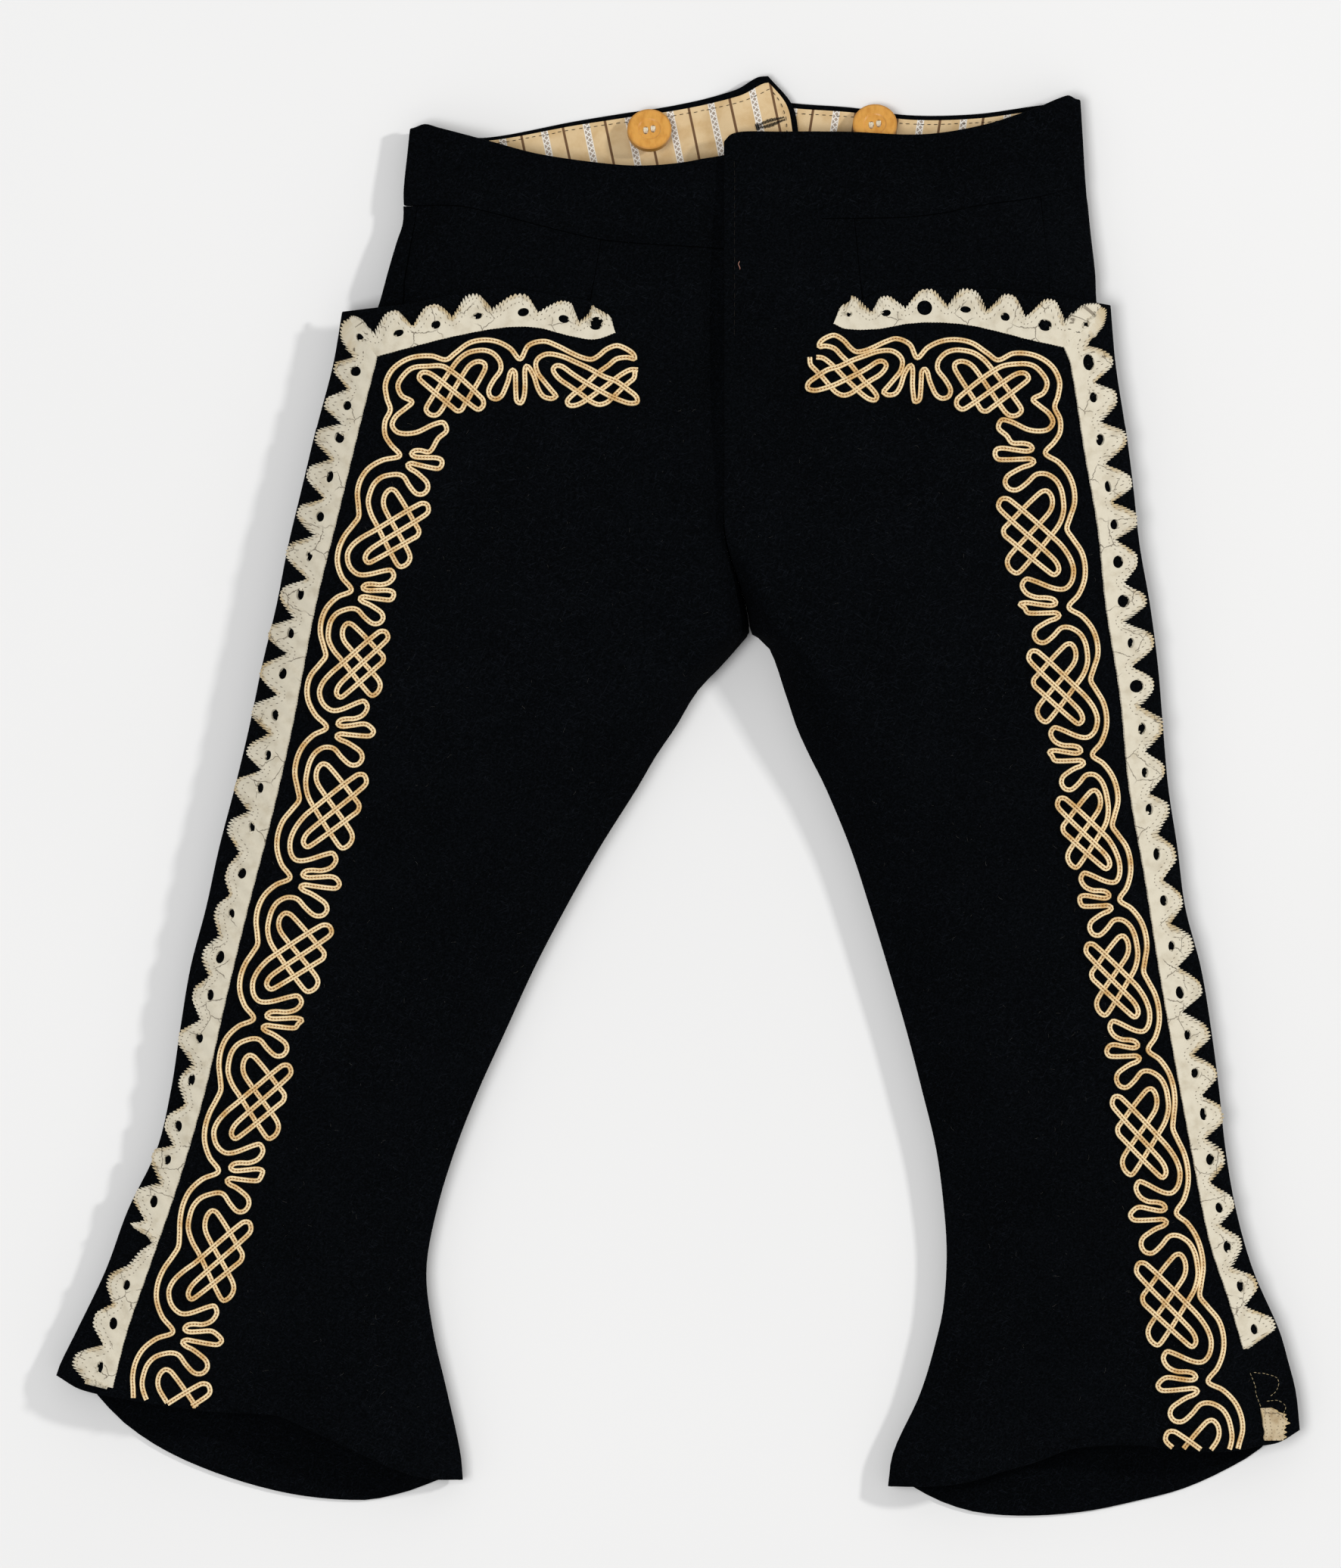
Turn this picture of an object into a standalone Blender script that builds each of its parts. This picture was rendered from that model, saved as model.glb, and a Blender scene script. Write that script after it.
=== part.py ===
"""Child's riding trousers, laid flat with the front up.

Cloth panels, waistbands, lining, leather trim, soutache braid and two buttons, each one closed solid.
X runs across the garment, Y from the hems to the waist and Z up. The origin lies under its middle.
Left and right are the viewer's. Sizes in the tables and in the functions are millimetres.
"""

import math
from dataclasses import dataclass

import bmesh
import bpy
from mathutils import Matrix, Vector

MM = 0.001

# Thicknesses and clearances
CLOTH = 1.5
BAND = 2.4
LINING = 1.0
LEATHER = 1.1
BRAID_WIDTH = 1.75
BRAID_HEIGHT = 0.9
GAP = 0.35
TRIM_GAP = 0.6

# The face of the trousers over the table: y, height of the crown
CROWN = [(-268, 18), (-230, 19), (-160, 20), (-80, 23), (0, 26), (70, 28), (130, 27), (190, 23), (225, 18),
         (255, 14), (275, 13)]
# Height of the side seams: y, height
SIDE_SEAM = [(-268, 7), (-200, 8), (0, 9), (190, 9), (225, 7), (275, 5)]
# How far in from the inner edge the face has risen: y, width
INNER_ROLL = [(-268, 40), (-60, 40), (10, 34), (40, 22), (62, 12), (105, 8)]
OUTER_ROLL = 34
ROLL_POWER = 2.2
CROTCH_Y = 62
VALLEY_TOP_Y = 105

# The fly: the right front laps over the left
FLY_X = 17.5
FLY_UNDERLAP = 9.5
FLY_DIP = 2.7
FLY_DIP_START = 7
FLY_DIP_END = 13.5

# Height of the pocket mouths, and how far the cloth behind them runs down inside
MOUTH_Y = 189
POCKET_FACING = 15
# How far over the mouth that cloth starts to rise, and where it is level with the front
TUCK_START = 2
TUCK_END = 9
# How far under the mouth the back's own strip on the face runs down
SIDE_TUCK = 6
BACK_SEAM_Y = 226
SEAT_ROLL = 9
SEAM_DROP = 0.35
# Share of the back waistband's height at which its lining ends
LINING_TOP = 0.95
# Half a button's section: distance from its axis, height
BUTTON_PROFILE = ((0, 0), (7.4, 0), (8.5, 0.9), (8.5, 2.0), (7.8, 2.8), (5.4, 2.7), (4.6, 2.1), (0, 2.1))
TAB_RISE_START = 8
TAB_RISE_END = 24

# Shares of a panel's width at which its lengthwise lines run, outside and inside the pocket's end
OUTER_COLUMNS = (0, 0.03, 0.075, 0.14, 0.23, 0.35, 0.48)
INNER_COLUMNS = (0.25, 0.5, 0.7, 0.8, 1)
# Shares of a panel's length at which its crosswise lines run, closer together at the crotch
FRONT_ROWS = (0, 0.04, 0.08, 0.12, 0.16, 0.2, 0.24, 0.28, 0.33, 0.385, 0.44, 0.495, 0.55, 0.59, 0.63, 0.66, 0.69,
              0.7185, 0.745, 0.775, 0.81, 0.835, 0.86, 0.91, 0.96, 1)
BACK_ROWS = (0, 0.04, 0.08, 0.12, 0.16, 0.2, 0.28, 0.385, 0.495, 0.63, 0.69, 0.7185, 0.745, 0.81, 0.91)
SEAT_ROWS = (-0.12, 0.06, 0.3, 0.65, 1)

# One repeat of the braid's knotwork, for the half nearer the waist: along, out. The other half mirrors it.
# A finger, its turn by the outer line, the second finger, the arch, and three strands of the lattice
KNOT_PITCH = 58
KNOT_LEAN = 0.22
KNOT_LEAN_CENTRE = -3
POCKET_DEPTH = 0.93
HALF_KNOT = [(0.0, -19.7), (2.2, -18.0), (2.6, -14.8), (2.1, -6.8), (2.4, -4.7), (4.2, -4.7), (5.6, -9.2),
             (7.6, -13.6), (10.2, -15.4), (12.6, -13.8), (10.9, -9.4), (7.8, -4.2), (7.9, 0.8), (11.6, 4.5),
             (17.2, 5.0), (22.6, 3.2), (29.4, -1.6), (42.2, -13.8), (43.9, -16.6), (42.8, -18.8), (40.0, -19.3),
             (36.8, -16.6), (21.0, -1.4), (17.8, 0.4), (14.6, 0.0), (13.0, -2.2), (14.6, -5.0), (26.8, -17.0)]
# The lattice's middle turn, and the row of the half where its first strand leaves the arch
KNOT_TURN = (29.0, -19.2)
ARCH_END = 16
# The scalloped outer line over half a repeat: along, out
HALF_SCALLOP = [(0, 0.2), (4.2, 4.6), (9.3, 7.1), (14.8, 8.1), (20.2, 7.4), (26.6, 4.7)]
SCALLOP_KINK = (29, 4.0)
# The outer line's way round the corner, from the first leg repeat's start: across to the side, up
CORNER_LINE = [(-12, 38.2), (-4, 37.4), (2.4, 33.4), (5.4, 27.6), (4.9, 22), (3.6, 17.6), (5.6, 13), (5.6, 8),
               (3.4, 4.2)]
# The corner of the knotwork between the pocket and the leg, from the corner of the right side: x, y
CORNER_KNOT = [(131.5, 166.2), (136.6, 165.2), (140.0, 162.2), (141.6, 158.0), (139.8, 154.0), (135.8, 151.6),
               (138.2, 149.2), (142.0, 146.0), (143.4, 142.6), (141.0, 139.8), (134.6, 139.8), (127.4, 143.0),
               (123.8, 143.6), (122.6, 140.6), (125.8, 137.6)]

# The leather's lobes: their pitch, the strip's reach at a valley, at a lobe's start and at its tip, and at
# a lost lobe
LOBE_PITCH = 15.8
LOBE_REACH = (8.4, 13.4, 14.6)
LOST_REACH = 6
TRIM_EDGE = 1.2
# The lobe on the corner: share of the turn, share of the way to the corner
CORNER_FAN = [(0.35, 0.55), (0.62, 0.78), (0.84, 0.88), (1, 0.86)]
FAN_START = 0.35
FAN_END = 0.92
EYELET_REACH = 7.6

PALETTE = {
    "wool": ((0.004, 0.005, 0.007), 0.95, 0.0),
    "cotton": ((0.62, 0.47, 0.29), 0.9, 0.0),
    "leather": ((0.6, 0.56, 0.45), 0.8, 0.0),
    "braid": ((0.65, 0.42, 0.18), 0.6, 0.0),
    "button": ((0.62, 0.33, 0.07), 0.35, 0.0),
}


@dataclass(frozen=True)
class Half:
    """One half of the garment. Edge tables hold y, x rows and hem, seam and mouth tables x, y rows."""

    name: str
    inward: int
    leg_outer: tuple
    leg_inner: tuple
    seat_outer: tuple
    front_hem: tuple
    back_hem: tuple
    mouth: tuple
    band_seam: tuple
    band_top: tuple
    pocket_end: tuple
    side_seam: tuple
    inner_edge: float
    back_top: tuple
    back_end: tuple
    knots: tuple
    pocket_knots: tuple
    leather_leg: tuple
    leather_pocket: tuple
    wide_eyelets: dict
    lost_lobes: tuple
    button: tuple
    button_tilt: float

    def outer_to_inner(self, rows):
        """First and last row of an edge table, from the outer side to the inner side."""
        return (rows[0], rows[-1]) if self.inward > 0 else (rows[-1], rows[0])

    @property
    def front_hem_ends(self):
        """X at the outer and the inner end of the front hem."""
        return tuple(x for x, _ in self.outer_to_inner(self.front_hem))

    @property
    def back_hem_ends(self):
        """X at the outer and the inner end of the back hem."""
        return tuple(x for x, _ in self.outer_to_inner(self.back_hem))

    @property
    def mouth_ends(self):
        """Y at the outer and the inner end of the pocket mouth."""
        return tuple(y for _, y in self.outer_to_inner(self.mouth))


LEFT = Half(
    name="left",
    inward=1,
    leg_outer=((185.5, -129), (165, -132.5), (142, -138.5), (119, -144), (96, -149.5), (73, -154), (50, -159.5),
               (26, -164.5), (3, -170), (-20, -176), (-43, -181), (-66, -187), (-90, -191), (-113, -194.5),
               (-136, -200), (-159, -211), (-182, -219.5), (-205, -230.5), (-217, -236.5), (-222, -238.5)),
    leg_inner=((62, 27.5), (50, 17), (40, 7.5), (26, -1), (15, -8.5), (3, -15.5), (-20, -30), (-43, -43),
               (-66, -55), (-90, -66), (-113, -76.5), (-136, -85.5), (-159, -92.5), (-182, -96.5), (-205, -94),
               (-229, -88.5), (-252, -83.5), (-262.5, -82.5)),
    seat_outer=((257, -103), (247, -104), (232, -105.5), (220, -105.5), (212, -108), (200, -111.5),
                (189, -114.5), (175, -119.5), (160, -127), (142, -138.5)),
    front_hem=((-238.5, -222.5), (-229.5, -227.5), (-216, -230.5), (-179, -236), (-153, -237.5), (-146, -240),
               (-109, -258), (-95, -262), (-82.5, -262.5)),
    back_hem=((-238.5, -222.5), (-218, -241.5), (-192, -255.5), (-153, -267), (-117, -270.5), (-98, -267.5),
              (-82.5, -262.5)),
    mouth=((-129, 185.5), (-115, 187), (-102, 188.5), (-88.5, 191.5), (-68, 194.5), (-51.5, 192.5), (-33.5, 189.5)),
    band_seam=((-105.5, 226), (-85, 226), (-72.5, 223.5), (-47.5, 217), (-29.5, 213), (-8, 211), (30, 209)),
    band_top=((-103, 256), (-98, 257.5), (-91.5, 256), (-72.5, 251), (-53.5, 246), (-29.5, 242.5), (-15, 241.5),
              (0, 242.5), (17.5, 245.5), (30, 247)),
    pocket_end=((189.5, -33.5), (213, -29.5)),
    side_seam=((170, -109), (192, -106), (226, -100)),
    inner_edge=FLY_X + FLY_UNDERLAP,
    back_top=((-103, 255), (-90, 253.5), (-75.5, 252.5), (-45.5, 258.5), (-28.5, 261.5), (-7, 265), (17, 270.5),
              (30, 275.5), (34.5, 276)),
    back_end=((BACK_SEAM_Y, 49), (255.5, 46), (265.5, 43.5), (276, 34.5)),
    knots=((-106.5, 130), (-125, 78.5), (-134.5, 26), (-148.5, -31.5), (-162.5, -85.5), (-176, -144),
           (-193.5, -205.5), (-212, -262)),
    pocket_knots=((-2.5, 161), (-60.5, 167), (-117, 160.5)),
    leather_leg=((-115, 168), (-121.5, 142.5), (-130, 107.5), (-138.5, 73), (-147.5, 26.5), (-155.5, -8.5),
                 (-164.5, -43), (-173, -78), (-181, -113), (-191, -147.5), (-203, -182.5), (-211, -205.5),
                 (-216.5, -227)),
    leather_pocket=((-24, 177), (-32, 174.5), (-42, 176), (-54, 179), (-67, 179), (-86.5, 175.5), (-104, 171),
                   (-115, 168)),
    wide_eyelets={"pocket": ((7, 5.6, 4.4),)},
    lost_lobes=(21,),
    button=(-11, 255),
    button_tilt=24,
)

RIGHT = Half(
    name="right",
    inward=-1,
    leg_outer=((188, 166), (165, 168), (142, 171.5), (119, 174.5), (96, 177), (73, 181), (50, 184), (26, 186),
               (3, 188), (-20, 191.5), (-43, 194.5), (-66, 200.5), (-90, 204.5), (-113, 207.5), (-136, 210),
               (-159, 214), (-182, 220.5), (-205, 230.5), (-217, 234), (-229, 237), (-243.5, 238.5)),
    leg_inner=((62, 27.5), (58, 34), (38, 41.5), (26, 45.5), (15, 50.5), (3, 56.5), (-20, 66), (-43, 73.5),
               (-66, 80.5), (-90, 87.5), (-113, 93.5), (-136, 99), (-159, 102), (-176, 103), (-194, 102),
               (-205, 100), (-229, 93), (-252, 82.5), (-265, 80.5)),
    seat_outer=((268.5, 154.5), (252, 155.5), (235, 156.5), (218, 158), (200, 160), (189, 160.5), (175, 163),
                (160, 167), (142, 171.5)),
    front_hem=((80.5, -265), (94, -265), (109.5, -263.5), (123, -259.5), (138, -255), (149.5, -250.5),
               (173.5, -249), (192, -251), (210.5, -251.5), (222, -249.5), (230.5, -248), (238.5, -243.5)),
    back_hem=((80.5, -265), (92, -270.5), (108, -275), (129, -276.5), (154.5, -275), (177, -271), (200, -265.5),
              (223.5, -255.5), (234.5, -248.5), (238.5, -243.5)),
    mouth=((70.5, 189.5), (76.5, 193), (95.5, 195), (115, 194.5), (143.5, 191.5), (166, 188)),
    band_seam=((17.5, 220.5), (55, 221), (86, 221.5), (100.5, 223), (115, 226), (139, 229.5), (157, 234.5)),
    band_top=((17.5, 250.5), (20, 253.3), (25, 254.5), (37.5, 254.5), (64.5, 254.5), (93.5, 253.5), (116.5, 257),
              (137, 263.5), (150, 268.5), (154.5, 267)),
    pocket_end=((189.5, 70.5), (221, 67.5)),
    side_seam=((170, 146), (192, 143), (229.5, 139)),
    inner_edge=FLY_X,
    back_top=((26, 268), (46, 265.5), (66.5, 264), (89.5, 261), (115, 261.5), (137, 264.5), (154.5, 266.5)),
    back_end=((BACK_SEAM_Y, 26), (268, 26)),
    knots=((140.5, 131), (149.5, 72), (158.5, 15.5), (169, -40), (180, -97.5), (190.8, -160), (203, -224.5),
           (217, -283)),
    pocket_knots=((33.5, 164.5), (91.5, 167.5), (154, 160)),
    leather_leg=((147.5, 171.5), (150, 165.5), (155.5, 131), (160.5, 102), (163.5, 73), (169, 38), (172.5, 3),
                 (178.5, -31.5), (184, -66.5), (190, -101), (196.5, -136), (203.5, -171), (211, -194),
                 (219, -221)),
    leather_pocket=((59.5, 180.5), (64.5, 178.5), (76.5, 178.5), (88, 180.5), (98.5, 181), (111, 180),
                   (124.5, 177), (134, 174.5), (147.5, 171.5)),
    wide_eyelets={"pocket": ((36, 5.8, 5.4), (81, 4.8, 4.4)), "leg": ((8, 6.4, 3.4),)},
    lost_lobes=(),
    button=(75.5, 258),
    button_tilt=11,
)


def smooth(rows, place):
    """Value at a place on the smooth curve through the rows of a table."""
    rows = sorted(rows)
    place = min(max(place, rows[0][0]), rows[-1][0])
    step = next(i for i in range(len(rows) - 1) if place <= rows[i + 1][0])
    (x0, y0), (x1, y1) = rows[step], rows[step + 1]
    before = rows[max(step - 1, 0)]
    after = rows[min(step + 2, len(rows) - 1)]
    span = x1 - x0
    start = (y1 - before[1]) / (x1 - before[0]) * span
    end = (after[1] - y0) / (after[0] - x0) * span
    t = (place - x0) / span
    return (y0 * (2 * t**3 - 3 * t**2 + 1) + start * (t**3 - 2 * t**2 + t)
            + y1 * (3 * t**2 - 2 * t**3) + end * (t**3 - t**2))


def mix(a, b, share):
    """The value at a share of the way from a to b."""
    return a + (b - a) * share


def ease(start, end, value):
    """0 before start, 1 after end, and a smooth slope between."""
    t = min(max((value - start) / (end - start), 0), 1)
    return t * t * (3 - 2 * t)


def swell(distance, width):
    """Share of the full height at a distance in from an edge."""
    return 1 - (1 - min(max(distance / width, 0), 1)) ** ROLL_POWER


def inner_line(half, y):
    """Where a front or back ends at the centre or at the inner leg."""
    if y > CROTCH_Y:
        return mix(smooth(half.leg_inner, CROTCH_Y), FLY_X, ease(CROTCH_Y, VALLEY_TOP_Y, y))
    return smooth(half.leg_inner, y)


def seam_gap(half, y):
    """Half a seam's gap at the centre, towards the half's own side."""
    return -half.inward * GAP / 2 if y > CROTCH_Y - 1 else 0


def front_inner(half, y):
    """Inner edge of the front, with the left one's lap under the fly."""
    lap = (half.inner_edge - FLY_X) * ease(VALLEY_TOP_Y + 2, VALLEY_TOP_Y + 20, y)
    return inner_line(half, y) + lap + seam_gap(half, y)


def face_height(half, outer_rows, wall, x, y):
    """Height of the face over the table, for a wall of cloth that laps over the side seams."""
    side = smooth(SIDE_SEAM, y) + wall + GAP
    rise = smooth(CROWN, y) - side
    out = swell(half.inward * (x - smooth(outer_rows, y)), OUTER_ROLL)
    inside = swell(half.inward * (inner_line(half, y) - x), smooth(INNER_ROLL, y))
    valley = 1 - ease(CROTCH_Y, VALLEY_TOP_Y, y)
    height = side + rise * out * (1 - valley * (1 - inside))
    if half is LEFT:
        height -= FLY_DIP * ease(FLY_DIP_START, FLY_DIP_END, x) * ease(VALLEY_TOP_Y - 22, VALLEY_TOP_Y - 6, y)
    return height


def face_point(half, outer_rows, x, y, lift=0.0, wall=CLOTH):
    """Point of the face, moved out along its normal."""
    step = 0.5
    low, high = sorted((smooth(outer_rows, y), front_inner(half, y)))
    inside = min(max(x, low + step), high - step)
    slope_x = (face_height(half, outer_rows, wall, inside + step, y)
               - face_height(half, outer_rows, wall, inside - step, y)) / (2 * step)
    slope_y = (face_height(half, outer_rows, wall, x, y + step)
               - face_height(half, outer_rows, wall, x, y - step)) / (2 * step)
    normal = Vector((-slope_x, -slope_y, 1)).normalized()
    return Vector((x, y, face_height(half, outer_rows, wall, x, y))) + normal * lift


def material(name):
    """The material of one kind of cloth, leather or horn."""
    found = bpy.data.materials.get(name)
    if found:
        return found
    made = bpy.data.materials.new(name)
    made.use_nodes = True
    colour, roughness, metallic = PALETTE[name]
    shader = made.node_tree.nodes["Principled BSDF"]
    shader.inputs["Base Color"].default_value = (*colour, 1)
    shader.inputs["Roughness"].default_value = roughness
    shader.inputs["Metallic"].default_value = metallic
    return made


def add_object(name, shape, finish, collection="trousers"):
    """Turn a bmesh in millimetres into an object in metres."""
    bmesh.ops.scale(shape, vec=(MM, MM, MM), verts=shape.verts)
    mesh = bpy.data.meshes.new(name)
    shape.to_mesh(mesh)
    shape.free()
    mesh.shade_smooth()
    mesh.set_sharp_from_angle(angle=math.radians(40))
    made = bpy.data.objects.new(name, mesh)
    made.data.materials.append(material(finish))
    bpy.data.collections[collection].objects.link(made)
    return made


def cloth_sheet(name, rows, wall, finish, up):
    """A wall of cloth under (or over) a grid of points; None leaves a place of the grid open."""
    shape = bmesh.new()
    verts = [[shape.verts.new(point) if point else None for point in row] for row in rows]
    for low, high in zip(verts, verts[1:]):
        for a, b, c, d in zip(low, low[1:], high[1:], high):
            if a and b and c and d:
                shape.faces.new((a, b, c, d))
    loose = [vert for vert in shape.verts if not vert.link_faces]
    bmesh.ops.delete(shape, geom=loose, context="VERTS")
    shape.normal_update()
    lead = max(shape.faces, key=lambda face: abs(face.normal.z))
    if (lead.normal.z > 0) != up:
        bmesh.ops.reverse_faces(shape, faces=shape.faces)
    made = add_object(name, shape, finish)
    solidify = made.modifiers.new("wall", "SOLIDIFY")
    solidify.thickness = wall * MM
    solidify.offset = -1
    return made


def front_columns(half):
    """Shares of the width, and the number of the column at the pocket's end."""
    y = half.pocket_end[0][0]
    outer = smooth(half.leg_outer, y)
    end = (half.pocket_end[0][1] - outer) / (front_inner(half, y) - outer)
    inner = [mix(end, 1, share) for share in INNER_COLUMNS]
    return [*OUTER_COLUMNS, end, *inner], len(OUTER_COLUMNS)


def front_panel(half):
    """Front leg, from the hem to the pocket mouth, with the piece that runs up beside the fly."""
    columns, end = front_columns(half)
    rows = []
    for share in FRONT_ROWS:
        row = []
        for place, column in enumerate(columns):
            hem_y = smooth(half.front_hem, mix(half.front_hem_ends[0], half.front_hem_ends[1], column))
            mouth_x = mix(smooth(half.leg_outer, MOUTH_Y), front_inner(half, MOUTH_Y), column)
            mouth_y = smooth(half.mouth, mouth_x)
            y = mix(hem_y, mouth_y, share)
            x = mix(smooth(half.leg_outer, y), front_inner(half, y), column)
            row.append(face_point(half, half.leg_outer, x, y))
        rows.append(row)
    mouth_points = rows[-1]
    for share in (0.5, 1):
        row = [None] * end
        for column in range(end, len(columns)):
            start = mouth_points[column]
            low_share = (start.x - mouth_points[end].x) / (mouth_points[-1].x - mouth_points[end].x)
            top_x = mix(half.pocket_end[1][1], half.inner_edge + seam_gap(half, CROTCH_Y), low_share)
            under_band = half is LEFT or column <= end + 1
            top_y = smooth(half.band_seam, top_x) - (GAP if under_band else 0)
            x, y = mix(start.x, top_x, share), mix(start.y, top_y, share)
            row.append(face_point(half, half.leg_outer, x, y))
        rows.append(row)
    if half is RIGHT:
        rows += fly_head(half, rows[-1], end)
    return cloth_sheet(f"front_{half.name}", rows, CLOTH, "wool", up=True)


def fly_head(half, seam_row, end):
    """The head of the fly, cut in one with the right front, that runs up past the waistband's end."""
    first = end + 1
    rows = []
    for share in (0.4, 0.8, 1):
        row = [None] * first
        for point in seam_row[first:]:
            top_y = smooth(half.band_top, point.x)
            row.append(face_point(half, half.seat_outer, point.x, mix(point.y, top_y, share)))
        rows.append(row)
    return rows


def fly_head_edge():
    """Where the right waistband ends beside the head of the fly."""
    columns, end = front_columns(RIGHT)
    low_share = (columns[end + 1] - columns[end]) / (1 - columns[end])
    return mix(RIGHT.pocket_end[1][1], RIGHT.inner_edge + seam_gap(RIGHT, CROTCH_Y), low_share)


def tucked_point(half, x, y):
    """Point of the cloth behind the pocket mouth: under the front below it, level with the front above it."""
    tucked = 1 - ease(TUCK_START, TUCK_END, y - smooth(half.mouth, x))
    return face_point(half, half.seat_outer, x, y, -(CLOTH + GAP) * tucked)


def hip_piece(half):
    """Cloth behind the pocket mouth, set between the side seam and the front."""
    end_y, end_x = half.pocket_end[0]
    top_end_x = half.pocket_end[1][1]
    side_x = smooth(half.side_seam, end_y)
    top_side_x = half.side_seam[-1][1]
    columns = []
    for share in (0, 0.04, 0.2, 0.42, 0.65, 0.88, 1):
        side_gap = half.inward * GAP * (0.5 - share)
        low_x = mix(side_x, end_x, share) + side_gap
        top_x = mix(top_side_x, top_end_x, share) + side_gap
        columns.append(((low_x, smooth(half.mouth, low_x)), (top_x, smooth(half.band_seam, top_x) - GAP)))
    rows = []
    for rise, climb in ((-POCKET_FACING, 0), (-3, 0), (TUCK_START, 0), (TUCK_END, 0), (TUCK_END, 0.5), (0, 1)):
        row = []
        for (x0, y0), (x1, y1) in columns:
            y = mix(y0 + rise, y1, climb)
            x = mix(x0, x1, (y - y0) / (y1 - y0))
            row.append(tucked_point(half, x, y))
        rows.append(row)
    return cloth_sheet(f"hip_{half.name}", rows, CLOTH, "wool", up=True)


def under_point(half, y, turn, side):
    """Point of the underside where it rolls up to a side seam; turn is 0 at the seam and 1 on the table."""
    height = smooth(SIDE_SEAM, y) - SEAM_DROP
    angle = turn * math.pi / 2
    if side == "outer":
        edge = smooth(half.seat_outer, y) if y > half.seat_outer[-1][0] else smooth(half.leg_outer, y)
        reach, inward = SEAT_ROLL, half.inward
    else:
        valley = 1 - ease(CROTCH_Y, VALLEY_TOP_Y, y)
        edge = inner_line(half, y) + seam_gap(half, y)
        reach, inward = mix(2, SEAT_ROLL, valley), -half.inward
        height *= valley
    return Vector((edge + inward * reach * (1 - math.cos(angle)), y, height * (1 - math.sin(angle))))


def back_panel(half):
    """Back leg and seat, flat on the table, rolled up to the side seams and round the hip."""
    rows = []
    for share in BACK_ROWS:
        rows.append([back_point(half, back_row_y(half, share, column), column) for column in range(-2, 10)])
    for share in SEAT_ROWS:
        row = []
        for column in range(-2, 10):
            y = mix(back_row_y(half, 1, column), BACK_SEAM_Y - GAP, share)
            row.append(back_point(half, y, column))
        rows.append(row)
    return cloth_sheet(f"back_{half.name}", rows, CLOTH, "wool", up=False)


def back_row_y(half, share, column):
    """Where a row of the back crosses a column; at the seams its rows meet the front's."""
    across = min(max((column - 2) / 5, 0), 1)
    hem = mix(half.back_hem_ends[0], half.back_hem_ends[1], across)
    outer_y, inner_y = half.mouth_ends
    return mix(smooth(half.back_hem, hem), mix(outer_y, inner_y, across), share)


def back_point(half, y, column):
    """Point of the back's outer side; columns run from the side seam on the hip to the inner edge."""
    if column < 0:
        if y < half.mouth_ends[0] - SIDE_TUCK:
            return None
        top_y = min(y, smooth(half.band_seam, smooth(half.side_seam, y)) - GAP)
        seam = smooth(half.side_seam, top_y) - half.inward * GAP / 2
        x = mix(seam, smooth(half.seat_outer, top_y), 0 if column == -2 else 0.18)
        return tucked_point(half, x, top_y)
    if column < 3:
        return under_point(half, y, column / 2, "outer")
    outer, inner = under_point(half, y, 1, "outer"), under_point(half, y, 1, "inner")
    if column < 7:
        return outer.lerp(inner, (column - 2) / 5)
    return under_point(half, y, (9 - column) / 2, "inner")


def front_band(half):
    """Front waistband, from the side to the fly."""
    start = smooth(half.seat_outer, 245)
    end = half.inner_edge if half is LEFT else fly_head_edge() + GAP
    rows = []
    stretch_end = FLY_DIP_START if half is LEFT else end
    places = [mix(start, stretch_end, share) for share in (0, 0.03, 0.08, 0.16, 0.27, 0.4, 0.55, 0.7, 0.85, 1)]
    if half is LEFT:
        places += [FLY_DIP_END, end]
    for rise in (0, 0.35, 0.7, 1):
        row = []
        for share, x in enumerate(places):
            y = mix(smooth(half.band_seam, x), smooth(half.band_top, x), rise)
            if share == 0:
                x = smooth(half.seat_outer, y)
            row.append(face_point(half, half.seat_outer, x, y, wall=BAND))
        rows.append(row)
    return cloth_sheet(f"waistband_front_{half.name}", rows, BAND, "wool", up=True)


def tab_rise(half, x):
    """Height of the left back waistband where its end lies on the right one."""
    stack = CLOTH + LINING + 2 * GAP
    return stack * ease(TAB_RISE_START, TAB_RISE_END, x) if half is LEFT else 0


def back_band_point(half, across, rise, lift):
    """Point of the back waistband's outer side; across runs from the side to the centre back."""
    end_y, end_x = half.back_end[-1]
    start_x = smooth(half.seat_outer, 252)
    top_x = mix(start_x, end_x, across)
    y = mix(BACK_SEAM_Y + GAP, smooth(half.back_top, top_x), rise)
    side_x = smooth(half.seat_outer, y)
    x = mix(side_x, smooth(half.back_end, y), across)
    turn = min(abs(x - side_x) / SEAT_ROLL, 1)
    roll = (smooth(SIDE_SEAM, y) - SEAM_DROP) * (1 - math.sqrt(1 - (1 - turn) ** 2))
    return Vector((x, y, roll + tab_rise(half, x) + lift))


def back_band(half):
    """Back waistband half, on the table, its left end lying over its right one."""
    shares = (0, 0.012, 0.035, 0.07, 0.25, 0.45, 0.62, 0.74, 0.8, 0.86, 0.93, 1)
    rows = [[back_band_point(half, across, rise, 0) for across in shares] for rise in (0, 0.3, 0.6, 0.85, 1)]
    return cloth_sheet(f"waistband_back_{half.name}", rows, CLOTH, "wool", up=False)


def back_lining(half):
    """Striped lining on the inside of the back waistband, where it shows."""
    shares = (0.11, 0.25, 0.45, 0.62, 0.74, 0.8, 0.86, 0.93, 0.985)
    rises = (0.2, 0.6, LINING_TOP)
    rows = [[back_band_point(half, across, rise, CLOTH + GAP) for across in shares] for rise in rises]
    return cloth_sheet(f"lining_back_{half.name}", rows, LINING, "cotton", up=False)


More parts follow.
